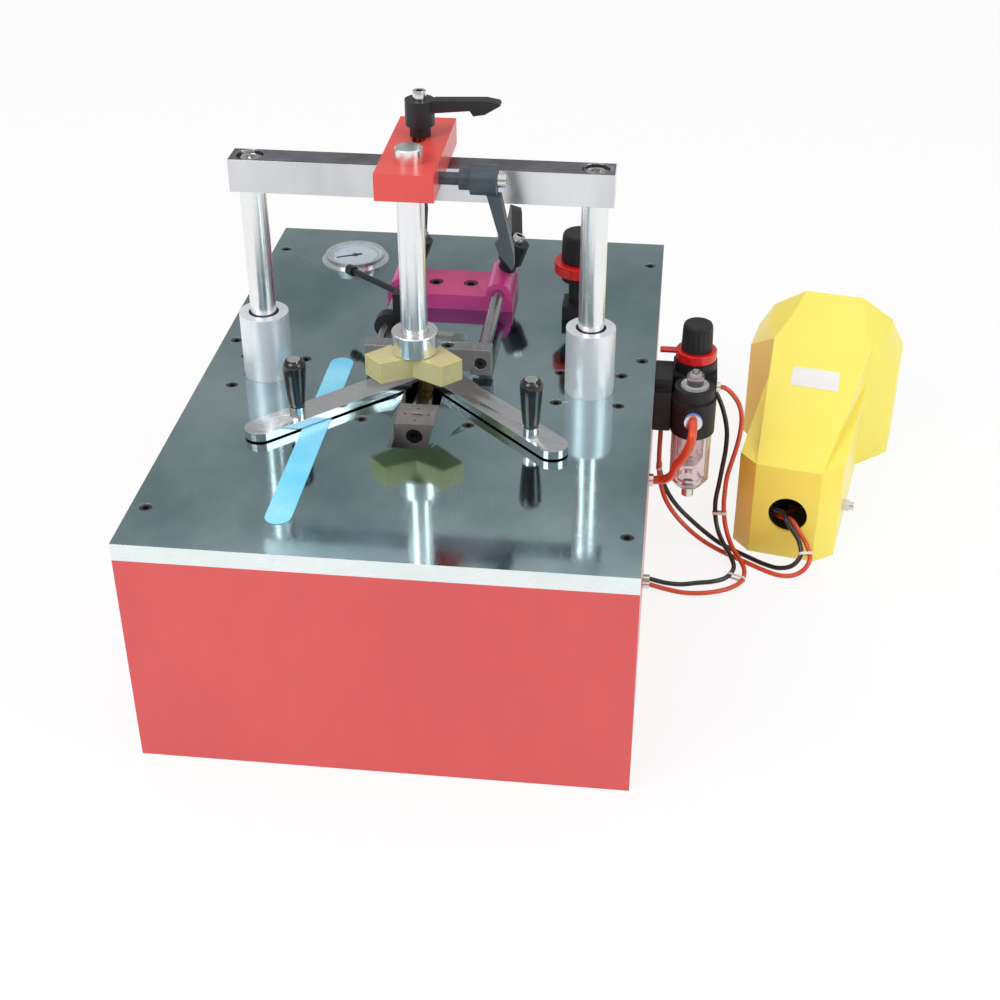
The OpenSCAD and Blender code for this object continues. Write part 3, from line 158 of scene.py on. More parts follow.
def grain():
    # Very fine noise, stretched along one axis for drawn and ground metal, as a height and a mask
    g, i, o = newGroup("grain", [("Scale", "Float", 900.0), ("Stretch", "Vector", (1, 1, 1))],
                       [("Height", "Float"), ("Mask", "Float")])
    place = node(g, "TexCoord")
    move = node(g, "Mapping", {"Vector": place.outputs["Object"], "Scale": i.outputs["Stretch"]})
    fine = node(g, "TexNoise", {"Vector": move.outputs[0], "Scale": i.outputs["Scale"], "Detail": 2.0})
    soft = node(g, "MapRange", {"Value": fine.outputs[0], "From Min": 0.3, "From Max": 0.7})
    g.links.new(fine.outputs[0], o.inputs["Height"])
    g.links.new(soft.outputs[0], o.inputs["Mask"])
    return g


def scratches():
    # Hair lines: a long stretched noise near its middle value, kept to a few soft patches
    g, i, o = newGroup("scratches", [("Scale", "Float", 260.0), ("Stretch", "Vector", (1, 0.03, 1))],
                       [("Mask", "Float")])
    place = node(g, "TexCoord")
    move = node(g, "Mapping", {"Vector": place.outputs["Object"], "Scale": i.outputs["Stretch"]})
    line = node(g, "TexNoise", {"Vector": move.outputs[0], "Scale": i.outputs["Scale"], "Detail": 1.0})
    off = node(g, "Math", {0: line.outputs[0], 1: 0.5}, operation="SUBTRACT")
    near = node(g, "Math", {0: off.outputs[0]}, operation="ABSOLUTE")
    thin = node(g, "MapRange", {"Value": near.outputs[0], "From Min": 0.0, "From Max": 0.02,
                                "To Min": 1.0, "To Max": 0.0})
    where = node(g, "TexNoise", {"Vector": place.outputs["Object"], "Scale": 16.0, "Detail": 2.0})
    patch = node(g, "MapRange", {"Value": where.outputs[0], "From Min": 0.45, "From Max": 0.7})
    both = node(g, "Math", {0: thin.outputs[0], 1: patch.outputs[0]}, operation="MULTIPLY")
    g.links.new(both.outputs[0], o.inputs["Mask"])
    return g


groups = {"clouds": clouds(), "grain": grain(), "scratches": scratches()}


def use(tree, name, **values):
    n = tree.nodes.new("ShaderNodeGroup")
    n.node_tree = groups[name]
    for k, v in values.items():
        n.inputs[k].default_value = v
    return n


def tone(r, g, b):  # a colour as a screen shows it, 0 to 255, made linear
    c = np.array([r, g, b]) / 255
    return (*np.where(c <= 0.04045, c / 12.92, ((c + 0.055) / 1.055) ** 2.4).tolist(), 1.0)


def finish(name, colour, second, metal=0.0, rough=(0.35, 0.45), cloudScale=12.0,
           cloudStretch=(1, 1, 1), grainScale=900.0, grainStretch=(1, 1, 1), bump=0.02, scratch=0.0,
           coat=0.0, transmission=0.0, ior=1.5, subsurface=0.0, subsurfaceRadius=0.01, specular=0.5,
           fineMix=0.2):
    m = bpy.data.materials.new(name)
    m.use_nodes = True
    t = m.node_tree
    p = t.nodes["Principled BSDF"]
    c = use(t, "clouds", Scale=cloudScale, Stretch=cloudStretch)
    g = use(t, "grain", Scale=grainScale, Stretch=grainStretch)
    mix = node(t, "Mix", {"Factor": c.outputs["Mask"]}, data_type="RGBA")
    mix.inputs[6].default_value = colour
    mix.inputs[7].default_value = second
    last = mix.outputs[2]
    if fineMix:
        dust = node(t, "Mix", data_type="RGBA", blend_type="MULTIPLY")
        dust.inputs[0].default_value = fineMix
        shade = node(t, "MapRange", {"Value": c.outputs["Fine"], "From Min": 0.25, "From Max": 0.75,
                                     "To Min": 0.85, "To Max": 1.1})
        t.links.new(last, dust.inputs[6])
        t.links.new(shade.outputs[0], dust.inputs[7])
        last = dust.outputs[2]
    t.links.new(last, p.inputs["Base Color"])
    rub = node(t, "MapRange", {"Value": g.outputs["Mask"], "To Min": rough[0], "To Max": rough[1]})
    last = rub.outputs[0]
    if scratch:
        s = use(t, "scratches")
        share = node(t, "Math", {0: s.outputs["Mask"], 1: scratch}, operation="MULTIPLY")
        last = node(t, "Math", {0: last, 1: share.outputs[0]}, operation="ADD").outputs[0]
    t.links.new(last, p.inputs["Roughness"])
    if bump:
        b = node(t, "Bump", {"Height": g.outputs["Height"], "Strength": bump, "Distance": 0.001})
        t.links.new(b.outputs[0], p.inputs["Normal"])
    p.inputs["Metallic"].default_value = metal
    p.inputs["Coat Weight"].default_value = coat
    p.inputs["Coat Roughness"].default_value = 0.15
    p.inputs["Transmission Weight"].default_value = transmission
    p.inputs["IOR"].default_value = ior
    p.inputs["Subsurface Weight"].default_value = subsurface
    p.inputs["Subsurface Radius"].default_value = (subsurfaceRadius,) * 3
    p.inputs["Specular IOR Level"].default_value = specular
    return m


# Finishes, by what they are on this machine

finishes = {
    "cabinetRed": finish(
        "cabinetRed", tone(224, 84, 84), tone(214, 74, 76), rough=(0.28, 0.38), cloudScale=5,
        cloudStretch=(1, 1, 0.5), grainScale=420, bump=0.04, coat=0.3, scratch=0.1),
    "blockRed": finish(
        "blockRed", tone(232, 82, 74), tone(222, 72, 66), rough=(0.3, 0.42), cloudScale=18,
        bump=0.04, coat=0.2, scratch=0.1),
    # The table's top: a dark and a light teal in broad patches, partly stains and partly painted reflection
    "tablePlate": finish(
        "tablePlate", (0.25, 0.38, 0.4, 1), (0.55, 0.69, 0.72, 1), metal=1,
        rough=(0.06, 0.1), cloudScale=5.5, cloudStretch=(1, 0.7, 1), grainScale=300,
        bump=0.002, scratch=0.1, fineMix=0.3),
    "tableEdge": finish(
        "tableEdge", (0.86, 0.92, 0.92, 1), (0.78, 0.85, 0.85, 1), metal=0.6,
        rough=(0.2, 0.3), cloudScale=8, grainScale=500, grainStretch=(0.06, 1, 1), bump=0.01),
    "brightSteel": finish(
        "brightSteel", (0.8, 0.81, 0.82, 1), (0.68, 0.7, 0.71, 1), metal=1,
        rough=(0.12, 0.2), cloudScale=16, grainScale=700, grainStretch=(0.1, 1, 1), bump=0.015,
        scratch=0.15),
    "chromeRod": finish(
        "chromeRod", (0.9, 0.9, 0.91, 1), (0.85, 0.86, 0.87, 1), metal=1, rough=(0.2, 0.28),
        cloudScale=20, grainScale=900, grainStretch=(1, 1, 0.06), bump=0.006),
    "satinAlu": finish(
        "satinAlu", (0.9, 0.92, 0.95, 1), (0.84, 0.86, 0.9, 1), metal=0.6,
        rough=(0.36, 0.44), cloudScale=14, grainScale=800, grainStretch=(1, 1, 0.2), bump=0.02),
    # The crossbar's sides: a dark and a bright steel in broad stretched patches, painted reflection
    "barSteel": finish(
        "barSteel", (0.44, 0.45, 0.48, 1), (0.84, 0.85, 0.87, 1), metal=1,
        rough=(0.22, 0.26), cloudScale=7, cloudStretch=(1, 1, 0.3), grainScale=60,
        bump=0),
    # The crossbar's top faces: the same steel made much darker, painted reflection
    "barTopPaintedReflection": finish(
        "barTopPaintedReflection", (0.1, 0.1, 0.12, 1), (0.36, 0.36, 0.4, 1), metal=1, rough=(0.2, 0.3),
        cloudScale=16, grainScale=700, grainStretch=(0.06, 1, 1), bump=0.02),
    "darkSteel": finish(
        "darkSteel", (0.36, 0.335, 0.33, 1), (0.27, 0.25, 0.245, 1), metal=0.5,
        rough=(0.28, 0.4), cloudScale=24, grainScale=700, bump=0.03, scratch=0.15),
    "blockTop": finish(
        "blockTop", (0.42, 0.4, 0.38, 1), (0.34, 0.32, 0.31, 1), metal=1,
        rough=(0.25, 0.35), cloudScale=30, grainScale=700, bump=0.03, scratch=0.15),
    "greySteel": finish(
        "greySteel", (0.45, 0.455, 0.46, 1), (0.34, 0.35, 0.36, 1), metal=1,
        rough=(0.2, 0.32), cloudScale=24, grainScale=700, grainStretch=(1, 0.1, 1), bump=0.02),
    "springSteel": finish(
        "springSteel", (0.6, 0.6, 0.61, 1), (0.48, 0.48, 0.49, 1), metal=1,
        rough=(0.2, 0.3), cloudScale=60, grainScale=900, bump=0.02),
    "blackOxide": finish(
        "blackOxide", (0.03, 0.03, 0.032, 1), (0.05, 0.05, 0.05, 1), metal=0.6,
        rough=(0.25, 0.4), cloudScale=60, bump=0.03),
    "nickel": finish(
        "nickel", (0.78, 0.77, 0.75, 1), (0.66, 0.65, 0.63, 1), metal=1, rough=(0.1, 0.2),
        cloudScale=60, bump=0.01),
    "brass": finish(
        "brass", (0.75, 0.54, 0.2, 1), (0.6, 0.42, 0.15, 1), metal=1, rough=(0.2, 0.3),
        cloudScale=60, bump=0.02),
    "magentaFront": finish(
        "magentaFront", tone(216, 72, 152), tone(202, 62, 140), rough=(0.3, 0.42),
        cloudScale=18, grainScale=600, bump=0.03, coat=0.2),
    # The bracket's top faces: the front's paint made darker, painted shade
    "magentaTopPaintedShade": finish(
        "magentaTopPaintedShade", tone(198, 56, 120), tone(182, 50, 110), rough=(0.3, 0.42),
        cloudScale=18, grainScale=600, bump=0.03, coat=0.2),
    "blackGrip": finish(
        "blackGrip", (0.01, 0.01, 0.011, 1), (0.015, 0.015, 0.016, 1),
        rough=(0.12, 0.2), cloudScale=40, bump=0.01, coat=0.3),
    "blackPlastic": finish(
        "blackPlastic", (0.014, 0.014, 0.015, 1), (0.02, 0.02, 0.022, 1),
        rough=(0.42, 0.55), cloudScale=40, grainScale=1400, bump=0.1, specular=0.3),
    "blackRubber": finish(
        "blackRubber", (0.012, 0.012, 0.012, 1), (0.018, 0.018, 0.018, 1),
        rough=(0.6, 0.75), cloudScale=60, grainScale=1600, bump=0.1, specular=0.3),
    "leverBlack": finish(
        "leverBlack", (0.014, 0.014, 0.016, 1), (0.022, 0.022, 0.024, 1),
        rough=(0.36, 0.48), cloudScale=40, grainScale=1200, bump=0.1, specular=0.35),
    "leverGrey": finish(
        "leverGrey", tone(66, 76, 84), tone(54, 64, 72), rough=(0.34, 0.46),
        cloudScale=40, grainScale=1200, bump=0.08),
    "hoodYellow": finish(
        "hoodYellow", tone(255, 243, 110), tone(255, 236, 94), rough=(0.34, 0.44),
        cloudScale=6, grainScale=520, bump=0.05, coat=0.2, fineMix=0.08),
    "ringRed": finish(
        "ringRed", tone(226, 30, 26), tone(210, 24, 22), rough=(0.22, 0.3),
        cloudScale=50, bump=0.02, coat=0.3),
    "stripBlue": finish(
        "stripBlue", tone(112, 214, 252), tone(164, 230, 253), rough=(0.2, 0.3),
        cloudScale=14, cloudStretch=(0.5, 1, 1), bump=0.01, coat=0.2, fineMix=0.05),
    "padUrethane": finish(
        "padUrethane", tone(208, 198, 146), tone(196, 188, 138), rough=(0.26, 0.32),
        cloudScale=26, grainScale=120, bump=0, ior=1.45, subsurface=0.3,
        subsurfaceRadius=0.004, fineMix=0.0),
    "padRim": finish(
        "padRim", tone(238, 220, 96), tone(228, 208, 84), rough=(0.18, 0.26),
        cloudScale=26, grainScale=120, bump=0, subsurface=0.3, subsurfaceRadius=0.004,
        fineMix=0.0),
    "bowlClear": finish(
        "bowlClear", (0.93, 0.87, 0.88, 1), (0.9, 0.83, 0.84, 1), rough=(0.03, 0.07),
        cloudScale=30, bump=0, transmission=0.9, ior=1.3, fineMix=0),
    "glassClear": finish(
        "glassClear", (0.97, 0.98, 0.98, 1), (0.95, 0.96, 0.96, 1), rough=(0.01, 0.03),
        cloudScale=30, bump=0, transmission=1, ior=1.2, fineMix=0),
    "tubeOrange": finish(
        "tubeOrange", tone(222, 84, 44), tone(208, 72, 36), rough=(0.2, 0.28),
        cloudScale=60, bump=0.01, subsurface=0.1, subsurfaceRadius=0.003, coat=0.2),
    "tubeBlack": finish(
        "tubeBlack", (0.014, 0.013, 0.013, 1), (0.022, 0.02, 0.02, 1),
        rough=(0.2, 0.3), cloudScale=60, bump=0.01, coat=0.2),
    "dialWhite": finish(
        "dialWhite", tone(216, 228, 236), tone(206, 220, 230), rough=(0.5, 0.6),
        cloudScale=50, bump=0.01, fineMix=0.05),
    "inkBlack": finish(
        "inkBlack", (0.015, 0.015, 0.016, 1), (0.02, 0.02, 0.02, 1),
        rough=(0.5, 0.6), cloudScale=80, bump=0, fineMix=0),
    "labelWhite": finish(
        "labelWhite", tone(244, 244, 240), tone(236, 236, 232), rough=(0.3, 0.4),
        cloudScale=60, bump=0.01, fineMix=0.05),
    "tieWhite": finish(
        "tieWhite", tone(236, 232, 222), tone(226, 222, 212), rough=(0.35, 0.45),
        cloudScale=90, bump=0.02),
    "collarBlue": finish(
        "collarBlue", tone(112, 132, 214), tone(98, 118, 200), rough=(0.25, 0.35),
        cloudScale=80, bump=0.02),
    "flangeGrey": finish(
        "flangeGrey", tone(176, 178, 180), tone(164, 166, 168), rough=(0.3, 0.4),
        cloudScale=60, bump=0.02),
}
print("finishes made:", len(finishes))

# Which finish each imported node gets

nodeFinish = {
    "cabinetRed": ["cabinet"],
    "blockRed": ["head_block"],
    "tablePlate": ["table"],
    "barSteel": ["crossbar"],
    "chromeRod": ["column_rods", "press_rod", "press_foot", "gauge_case"],
    "satinAlu": ["guide_sleeves", "clamp_barrels", "driver_barrel", "clamp_pistons", "valve_block",
                 "pedal_valve"],
    "brightSteel": ["fence_bar", "left_arm", "right_arm"],
    "darkSteel": ["base_plate", "nail_block", "pedal_base"],
    "greySteel": ["magazine_rail", "driver_ram", "slide_shafts"],
    "springSteel": ["pedal_spring"],
    "blackOxide": ["table_screws", "fence_screws", "fence_pin"],
    "nickel": ["tube_fittings", "pedal_bolt", "crossbar_screws"],
    "brass": ["nail_pusher", "valve_plunger"],
    "magentaFront": ["slide_bracket"],
    "blackGrip": ["left_grip", "right_grip"],
    "blackPlastic": ["regulator_body", "regulator_knob", "air_bracket", "air_bodies", "air_knob",
                     "treadle"],
    "blackRubber": ["rod_wipers"],
    "leverBlack": ["top_lever", "left_clamp_lever", "right_clamp_lever", "position_lever"],
    "leverGrey": ["side_lever"],
    "hoodYellow": ["pedal_hood"],
    "ringRed": ["lock_rings"],
    "stripBlue": ["blue_strip"],
    "padUrethane": ["press_pad"],
    "bowlClear": ["air_bowls"],
    "glassClear": ["gauge_glass"],
    "dialWhite": ["gauge_dial"],
    "inkBlack": ["gauge_needle"],
    "tubeOrange": ["supply_hose", "pedal_tubes", "feed_tubes"],
}
for key, members in nodeFinish.items():
    for n in members:
        nodes[n].data.materials.clear()
        nodes[n].data.materials.append(finishes[key])

# Mesh helpers


def pieceFrom(name, points, faces, finishName, body, smoothAngle=40.0):
    # Points that meet are merged, so seams and poles are closed, and faces are turned outwards
    mesh = bpy.data.meshes.new(name)
    mesh.from_pydata(np.asarray(points, float).tolist(), [], [list(map(int, f)) for f in faces])
    b = bmesh.new()
    b.from_mesh(mesh)
    bmesh.ops.remove_doubles(b, verts=b.verts, dist=1e-7)
    bmesh.ops.recalc_face_normals(b, faces=b.faces)
    b.to_mesh(mesh)
    b.free()
    mesh.polygons.foreach_set("use_smooth", np.ones(len(mesh.polygons), bool))
    mesh.set_sharp_from_angle(angle=math.radians(smoothAngle))
    obj = bpy.data.objects.new(name, mesh)
    bpy.context.scene.collection.objects.link(obj)
    mesh.materials.append(finishes[finishName])
    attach(obj, body)
    return obj


def gridFaces(rows, cols, ring=True, start=0):
    # Quads between neighbouring rows of a grid of points; ring joins each row's end to its start
    r, c = np.meshgrid(np.arange(rows - 1), np.arange(cols if ring else cols - 1), indexing="ij")
    n = (c + 1) % cols
    quads = np.stack([r * cols + c, r * cols + n, (r + 1) * cols + n, (r + 1) * cols + c], -1)
    return (quads.reshape(-1, 4) + start).tolist()


def lathe(name, profile, place, finishName, body, sides=64, flutes=None):
    # Each profile point (radius, height) is carried round the axis; flutes is (count, depth, low, high)
    prof = np.asarray(profile, float)
    a = np.linspace(0, 2 * np.pi, sides, endpoint=False)
    rad = np.repeat(prof[:, :1], sides, 1)
    if flutes:
        count, depth, low, high = flutes
        inside = (prof[:, 1] > low) & (prof[:, 1] < high) & (prof[:, 0] > 0.8 * prof[:, 0].max())
        rad = rad - inside[:, None] * depth * (0.5 - 0.5 * np.cos(count * a))[None] ** 2
    pts = np.stack([rad * np.cos(a), rad * np.sin(a), np.repeat(prof[:, 1:2], sides, 1)], -1)
    pts = pts.reshape(-1, 3)
    world = np.c_[pts / 1000, np.ones(len(pts))] @ np.array(place).T
    return pieceFrom(name, world[:, :3], gridFaces(len(prof), sides), finishName, body, 35)


# Degrees within which faces merge, and past which an edge is sharp; how far up a top face looks
flatness = {"merge": 0.6, "sharp": 28, "up": 0.9}


def softened(nodeName, width, finishName, top=None, rim=None, angle=32.0, segments=2):
    # The node's triangles merged back to faces, with its edges rounded by width in millimetres;
    # top is another finish for the faces that look up, and rim one for the rounded edges
    obj = bpy.data.objects.new(nodeName + ".rounded", nodes[nodeName].data.copy())
    bpy.context.scene.collection.objects.link(obj)
    mesh = obj.data
    b = bmesh.new()
    b.from_mesh(mesh)
    bmesh.ops.remove_doubles(b, verts=b.verts, dist=1e-6)
    bmesh.ops.dissolve_limit(b, angle_limit=math.radians(flatness["merge"]), verts=b.verts,
                             edges=b.edges, delimit={"NORMAL"})
    b.to_mesh(mesh)
    b.free()
    count = len(mesh.polygons)
    mesh.polygons.foreach_set("use_smooth", np.ones(count, bool))
    mesh.set_sharp_from_angle(angle=math.radians(flatness["sharp"]))
    mesh.materials.clear()
    for one in (finishName, top or finishName, rim or finishName):
        mesh.materials.append(finishes[one])
    normals = np.empty(count * 3)
    mesh.polygons.foreach_get("normal", normals)
    looksUp = normals.reshape(-1, 3)[:, 2] > flatness["up"]
    mesh.polygons.foreach_set("material_index", looksUp.astype(int))
    mod = obj.modifiers.new("edges", "BEVEL")
    mod.width = width / 1000
    mod.segments = segments
    mod.limit_method = "ANGLE"
    mod.angle_limit = math.radians(angle)
    mod.harden_normals = True
    mod.miter_outer = "MITER_ARC"
    mod.material = 2 if rim else -1
    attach(obj, bodyOf[nodeName])
    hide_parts(nodeName)
    return obj


def smoothLine(points, steps=8):  # a Catmull-Rom curve through points, in metres
    q = np.vstack([2 * points[0] - points[1], points, 2 * points[-1] - points[-2]])
    t = np.linspace(0, 1, steps, endpoint=False)[:, None]
    spans = [0.5 * (2 * q[i + 1] + (q[i + 2] - q[i]) * t
                    + (2 * q[i] - 5 * q[i + 1] + 4 * q[i + 2] - q[i + 3]) * t ** 2
                    + (3 * q[i + 1] - q[i] - 3 * q[i + 2] + q[i + 3]) * t ** 3)
             for i in range(len(points) - 1)]
    return np.vstack(spans + [points[-1:]])


def sweep(line, radius, sides):
    # A ring round each point of the line, its first spoke being the ring's before it, carried along
    tangent = np.gradient(line, axis=0)
    tangent /= np.linalg.norm(tangent, axis=1)[:, None]
    normal = np.zeros_like(line)
    seed = np.array([0, 0, 1.0]) if abs(tangent[0, 2]) < 0.8 else np.array([1.0, 0, 0])
    for i, d in enumerate(tangent):
        seed = seed - seed.dot(d) * d
        seed /= np.linalg.norm(seed)
        normal[i] = seed
    side = np.cross(tangent, normal)
    a = np.linspace(0, 2 * np.pi, sides, endpoint=False)[None, :, None]
    pts = line[:, None] + radius * (np.cos(a) * normal[:, None] + np.sin(a) * side[:, None])
    last = (len(line) - 1) * sides
    ends = [list(range(sides))[::-1], [last + k for k in range(sides)]]
    return pts.reshape(-1, 3), gridFaces(len(line), sides) + ends


# Tubes, on the part's own routes

routes = {
    "supplyHose": [
        [236, 283, -31], [236, 275, -32], [235.5, 268.5, -37], [233.5, 266, -46],
        [229.5, 267, -56.5], [224, 270, -67], [222, 276, -77.5], [219, 281.5, -86.5],
        [213, 286, -93], [204, 287, -95]],
    "pedalTubeOrange": [
        [208, 368, -64], [208, 368, -82], [208, 368, -100], [208, 368, -118],
        [209, 368, -136], [212, 368, -153], [218, 367, -169], [228, 364, -183], [241, 360, -195],
        [255, 354, -203], [270, 345, -206.5], [285, 334, -206.5], [300, 324, -206.5],
        [315, 314, -206.5], [329, 307, -206], [342, 305, -203], [352, 309, -197],
        [356, 318, -190], [352, 328, -182], [345, 335, -174], pedalPoint(8, 0, 43),
        pedalPoint(-3, 9, 39), pedalPoint(-11, 22, 32), pedalPoint(-12, 36, 23),
        pedalPoint(-7, 50, 16), pedalPoint(1, 62, 14), pedalPoint(4.5, 70, 14),
        pedalPoint(4.5, 78, 14)],
    "pedalTubeBlack": [
        [208, 376, -64], [208, 376, -82], [208, 376, -100], [208, 376, -118],
        [209, 376, -135], [213, 376, -151], [220, 375, -166], [230, 373, -179], [243, 369, -190],
        [257, 363, -199], [271, 355, -205], [286, 345, -206.5], [301, 334, -206.5],
        [315, 324, -206], [328, 315, -203], [340, 312, -197], [347, 317, -188],
        [345, 326, -179], [338, 332, -170], [332, 338, -163], pedalPoint(-2, 2, 49),
        pedalPoint(-14, 9, 46), pedalPoint(-22, 21, 39), pedalPoint(-24, 34, 30),
        pedalPoint(-20, 46, 21), pedalPoint(-13, 58, 15), pedalPoint(-7, 68, 14),
        pedalPoint(-5.5, 78, 14)],
    "feedTubeOrange": [
        [206, 272, -201], [222, 271, -204.5], [238, 270, -206.5], [255, 271, -206.5],
        [271, 276, -206.5], [284, 284, -206.5], [293, 295, -206], [295, 309, -203.5],
        [290, 323, -200], [284, 336, -198], [279, 348, -192], [275, 357, -181], [273, 361, -165],
        [273, 362, -148], [274, 361, -131], [277, 359, -114], [280, 357, -97], [282, 356, -80],
        [282, 356, -63], [278, 356, -49], [270, 356, -38], [264, 356, -33.5], [260, 356, -33]],
    "feedTubeBlack": [
        [206, 281, -201], [221, 281, -204.5], [236, 283, -206.5], [251, 287, -206.5],
        [266, 291, -206.5], [278, 298, -206], [285, 310, -203], [282, 325, -200],
        [276, 339, -197.5], [270, 351, -191], [266, 360, -179], [265, 366, -164],
        [267, 370, -148], [269, 374, -131], [271, 379, -114], [271, 386, -97], [267, 393, -81],
        [260, 399, -66], [250, 402, -52], [241, 401, -41], [236, 394, -34.5], [236, 386, -33]],
}
tubes = {
    "supplyHose": (8.0, "tubeOrange", "supply_hose"),
    "pedalTubeOrange": (4.5, "tubeOrange", "pedal_tubes"),
    "pedalTubeBlack": (4.5, "tubeBlack", "pedal_tubes"),
    "feedTubeOrange": (4.5, "tubeOrange", "feed_tubes"),
    "feedTubeBlack": (4.5, "tubeBlack", "feed_tubes"),
}
# Cable ties: which pair they hold, and where they show in the picture
ties = {
    "tieTop": ("pedalTubeOrange", "pedalTubeBlack", (659, 467)),
    "tieMiddle": ("feedTubeOrange", "feedTubeBlack", (724.5, 512)),
    "tieLow": ("feedTubeOrange", "feedTubeBlack", (745, 580)),
    "tieHole": ("pedalTubeOrange", "pedalTubeBlack", (806, 555)),
}
tieBand = {"width": 2.6, "thickness": 0.6, "over": 0.05, "sides": 48}
tubeSides = 20


def tie(name, lineA, lineB, pixel, tubeDiameter):
    # A flat band round two tubes: half circles about each tube, joined by straight runs
    i = int(np.argmin(np.linalg.norm(pixelsOf(lineA) - np.array(pixel), axis=1)))
    j = int(np.argmin(np.linalg.norm(lineB - lineA[i], axis=1)))
    along = lineA[min(i + 1, len(lineA) - 1)] - lineA[max(i - 1, 0)]
    along /= np.linalg.norm(along)
    across = lineB[j] - lineA[i]
    across -= across.dot(along) * along
    half = np.linalg.norm(across) / 2
    across /= 2 * half
    out = np.cross(along, across)
    centre = lineA[i] + across * half
    a = np.linspace(0, 2 * np.pi, tieBand["sides"], endpoint=False)
    inner = tubeDiameter / 2000 + tieBand["over"] / 1000
    outer = inner + tieBand["thickness"] / 1000
    w = tieBand["width"] / 2000
    rows = [(inner, -w), (outer, -w), (outer, w), (inner, w), (inner, -w)]
    pts = np.stack([centre + across * (np.sign(np.cos(a)) * half + r * np.cos(a))[:, None]
                    + out * (r * np.sin(a))[:, None] + along * z for r, z in rows])
    faces = gridFaces(len(rows), tieBand["sides"])
    return pieceFrom(name, pts.reshape(-1, 3), faces, "tieWhite", "machine", 40)


lines = {key: smoothLine(atTable(points)) for key, points in routes.items()}
tiePieces = {key: tie(key, lines[a], lines[b], pixel, tubes[a][0])
             for key, (a, b, pixel) in ties.items()}
for key, (size, colour, replaced) in tubes.items():
    line = lines[key]
    points, faces = sweep(line, size / 2000, tubeSides)
    piece = pieceFrom(key, points, faces, colour, "machine", 50)
    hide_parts(replaced)

# Rounded copies of the nodes: width of the rounding, then the finishes of the sides, top and edges

rounded = {
    "head_block": (1.2, "blockRed", None, None),
    # The crossbar's sides and its darker top carry painted reflection
    "crossbar": (1.0, "barSteel", "barTopPaintedReflection", "brightSteel"),
    # The bracket's top is its paint made darker: painted shade
    "slide_bracket": (1.0, "magentaFront", "magentaTopPaintedShade", None),
    "nail_block": (0.5, "darkSteel", "blockTop", "brightSteel"),
    "fence_bar": (0.6, "darkSteel", "greySteel", "brightSteel"),
    "left_arm": (0.7, "brightSteel", None, None),
    "right_arm": (0.7, "brightSteel", None, None),
    "press_pad": (1.1, "padUrethane", None, "padRim"),
    "guide_sleeves": (1.0, "satinAlu", None, None),
    "press_foot": (1.2, "chromeRod", None, None),
    "top_lever": (1.5, "leverBlack", None, None),
    "side_lever": (1.5, "leverGrey", None, None),
    "left_clamp_lever": (1.5, "leverBlack", None, None),
    "right_clamp_lever": (1.5, "leverBlack", None, None),
    "regulator_body": (1.0, "blackPlastic", None, None),
    "air_bodies": (1.2, "blackPlastic", None, None),
    "air_bracket": (1.0, "blackPlastic", None, None),
    "lock_rings": (0.8, "ringRed", None, None),
}
for key, (width, side, top, rim) in rounded.items():
    softened(key, width, side, top, rim)
softened("pedal_hood", 4.0, "hoodYellow", angle=9.0, segments=3)
softened("cabinet", 1.2, "cabinetRed")
# The table's top finish carries painted reflection in its light patches
softened("table", 0.5, "tableEdge", top="tablePlate")
print("nodes rounded:", len(rounded) + 3)

# Grips and knobs, turned about the axes of their nodes


def axisOf(nodeName):  # a frame at the middle of the node's underside, and the node's height in mm
    low, high = (np.array(corner, float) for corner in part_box(nodeName))
    middle = (low + high) / 2
    return Matrix.Translation((middle[0], middle[1], low[2])), (high[2] - low[2]) * 1000


gripShape = {"diameter": 19.2, "bore": 3.55, "well": 5.8, "wellDepth": 2.0, "rings": 28,
             "heights": [0, 0.05, 0.4, 0.75, 0.88, 0.95, 0.985, 1],
             "halfWidths": [0.33, 0.37, 0.445, 0.495, 0.5, 0.475, 0.43, 0.385]}


def grip(nodeName):
    # Half the diameter against height: narrow at the collar, fullest near the top, with a round lip
    place, h = axisOf(nodeName)
    d = gripShape["diameter"]
    t = np.linspace(0, 1, gripShape["rings"])
    r = d * np.interp(t, gripShape["heights"], gripShape["halfWidths"])
    wall = np.c_[r, t * h].tolist()
    well = [[gripShape["well"], h], [gripShape["well"], h - gripShape["wellDepth"]],
            [gripShape["bore"], h - gripShape["wellDepth"]], [gripShape["bore"], 0], wall[0]]
    piece = lathe(nodeName + ".turned", wall + well, place, "blackGrip", bodyOf[nodeName])
    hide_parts(nodeName)


for key in ("left_grip", "right_grip"):
    grip(key)

knobs = {
    "regulator_knob": {"diameter": 35.0, "bore": 12.1, "deep": 6.0, "ribs": 18},
    "air_knob": {"diameter": 28.4, "bore": 10.1, "deep": 16.0, "ribs": 18},
}
# Lengths in millimetres, and shares of the knob's height where the wall, flutes and crown end
knobShape = {"taper": 0.6, "foot": 0.8, "wallShare": 0.8, "fluteShare": 0.83, "fluteDepth": 0.5,
             "fluteLow": 0.5, "crownShare": 0.84, "crownRise": 0.15, "crownIn": 3.2,
             "crownRound": 2.4, "topIn": 4.6, "topShare": 0.975}


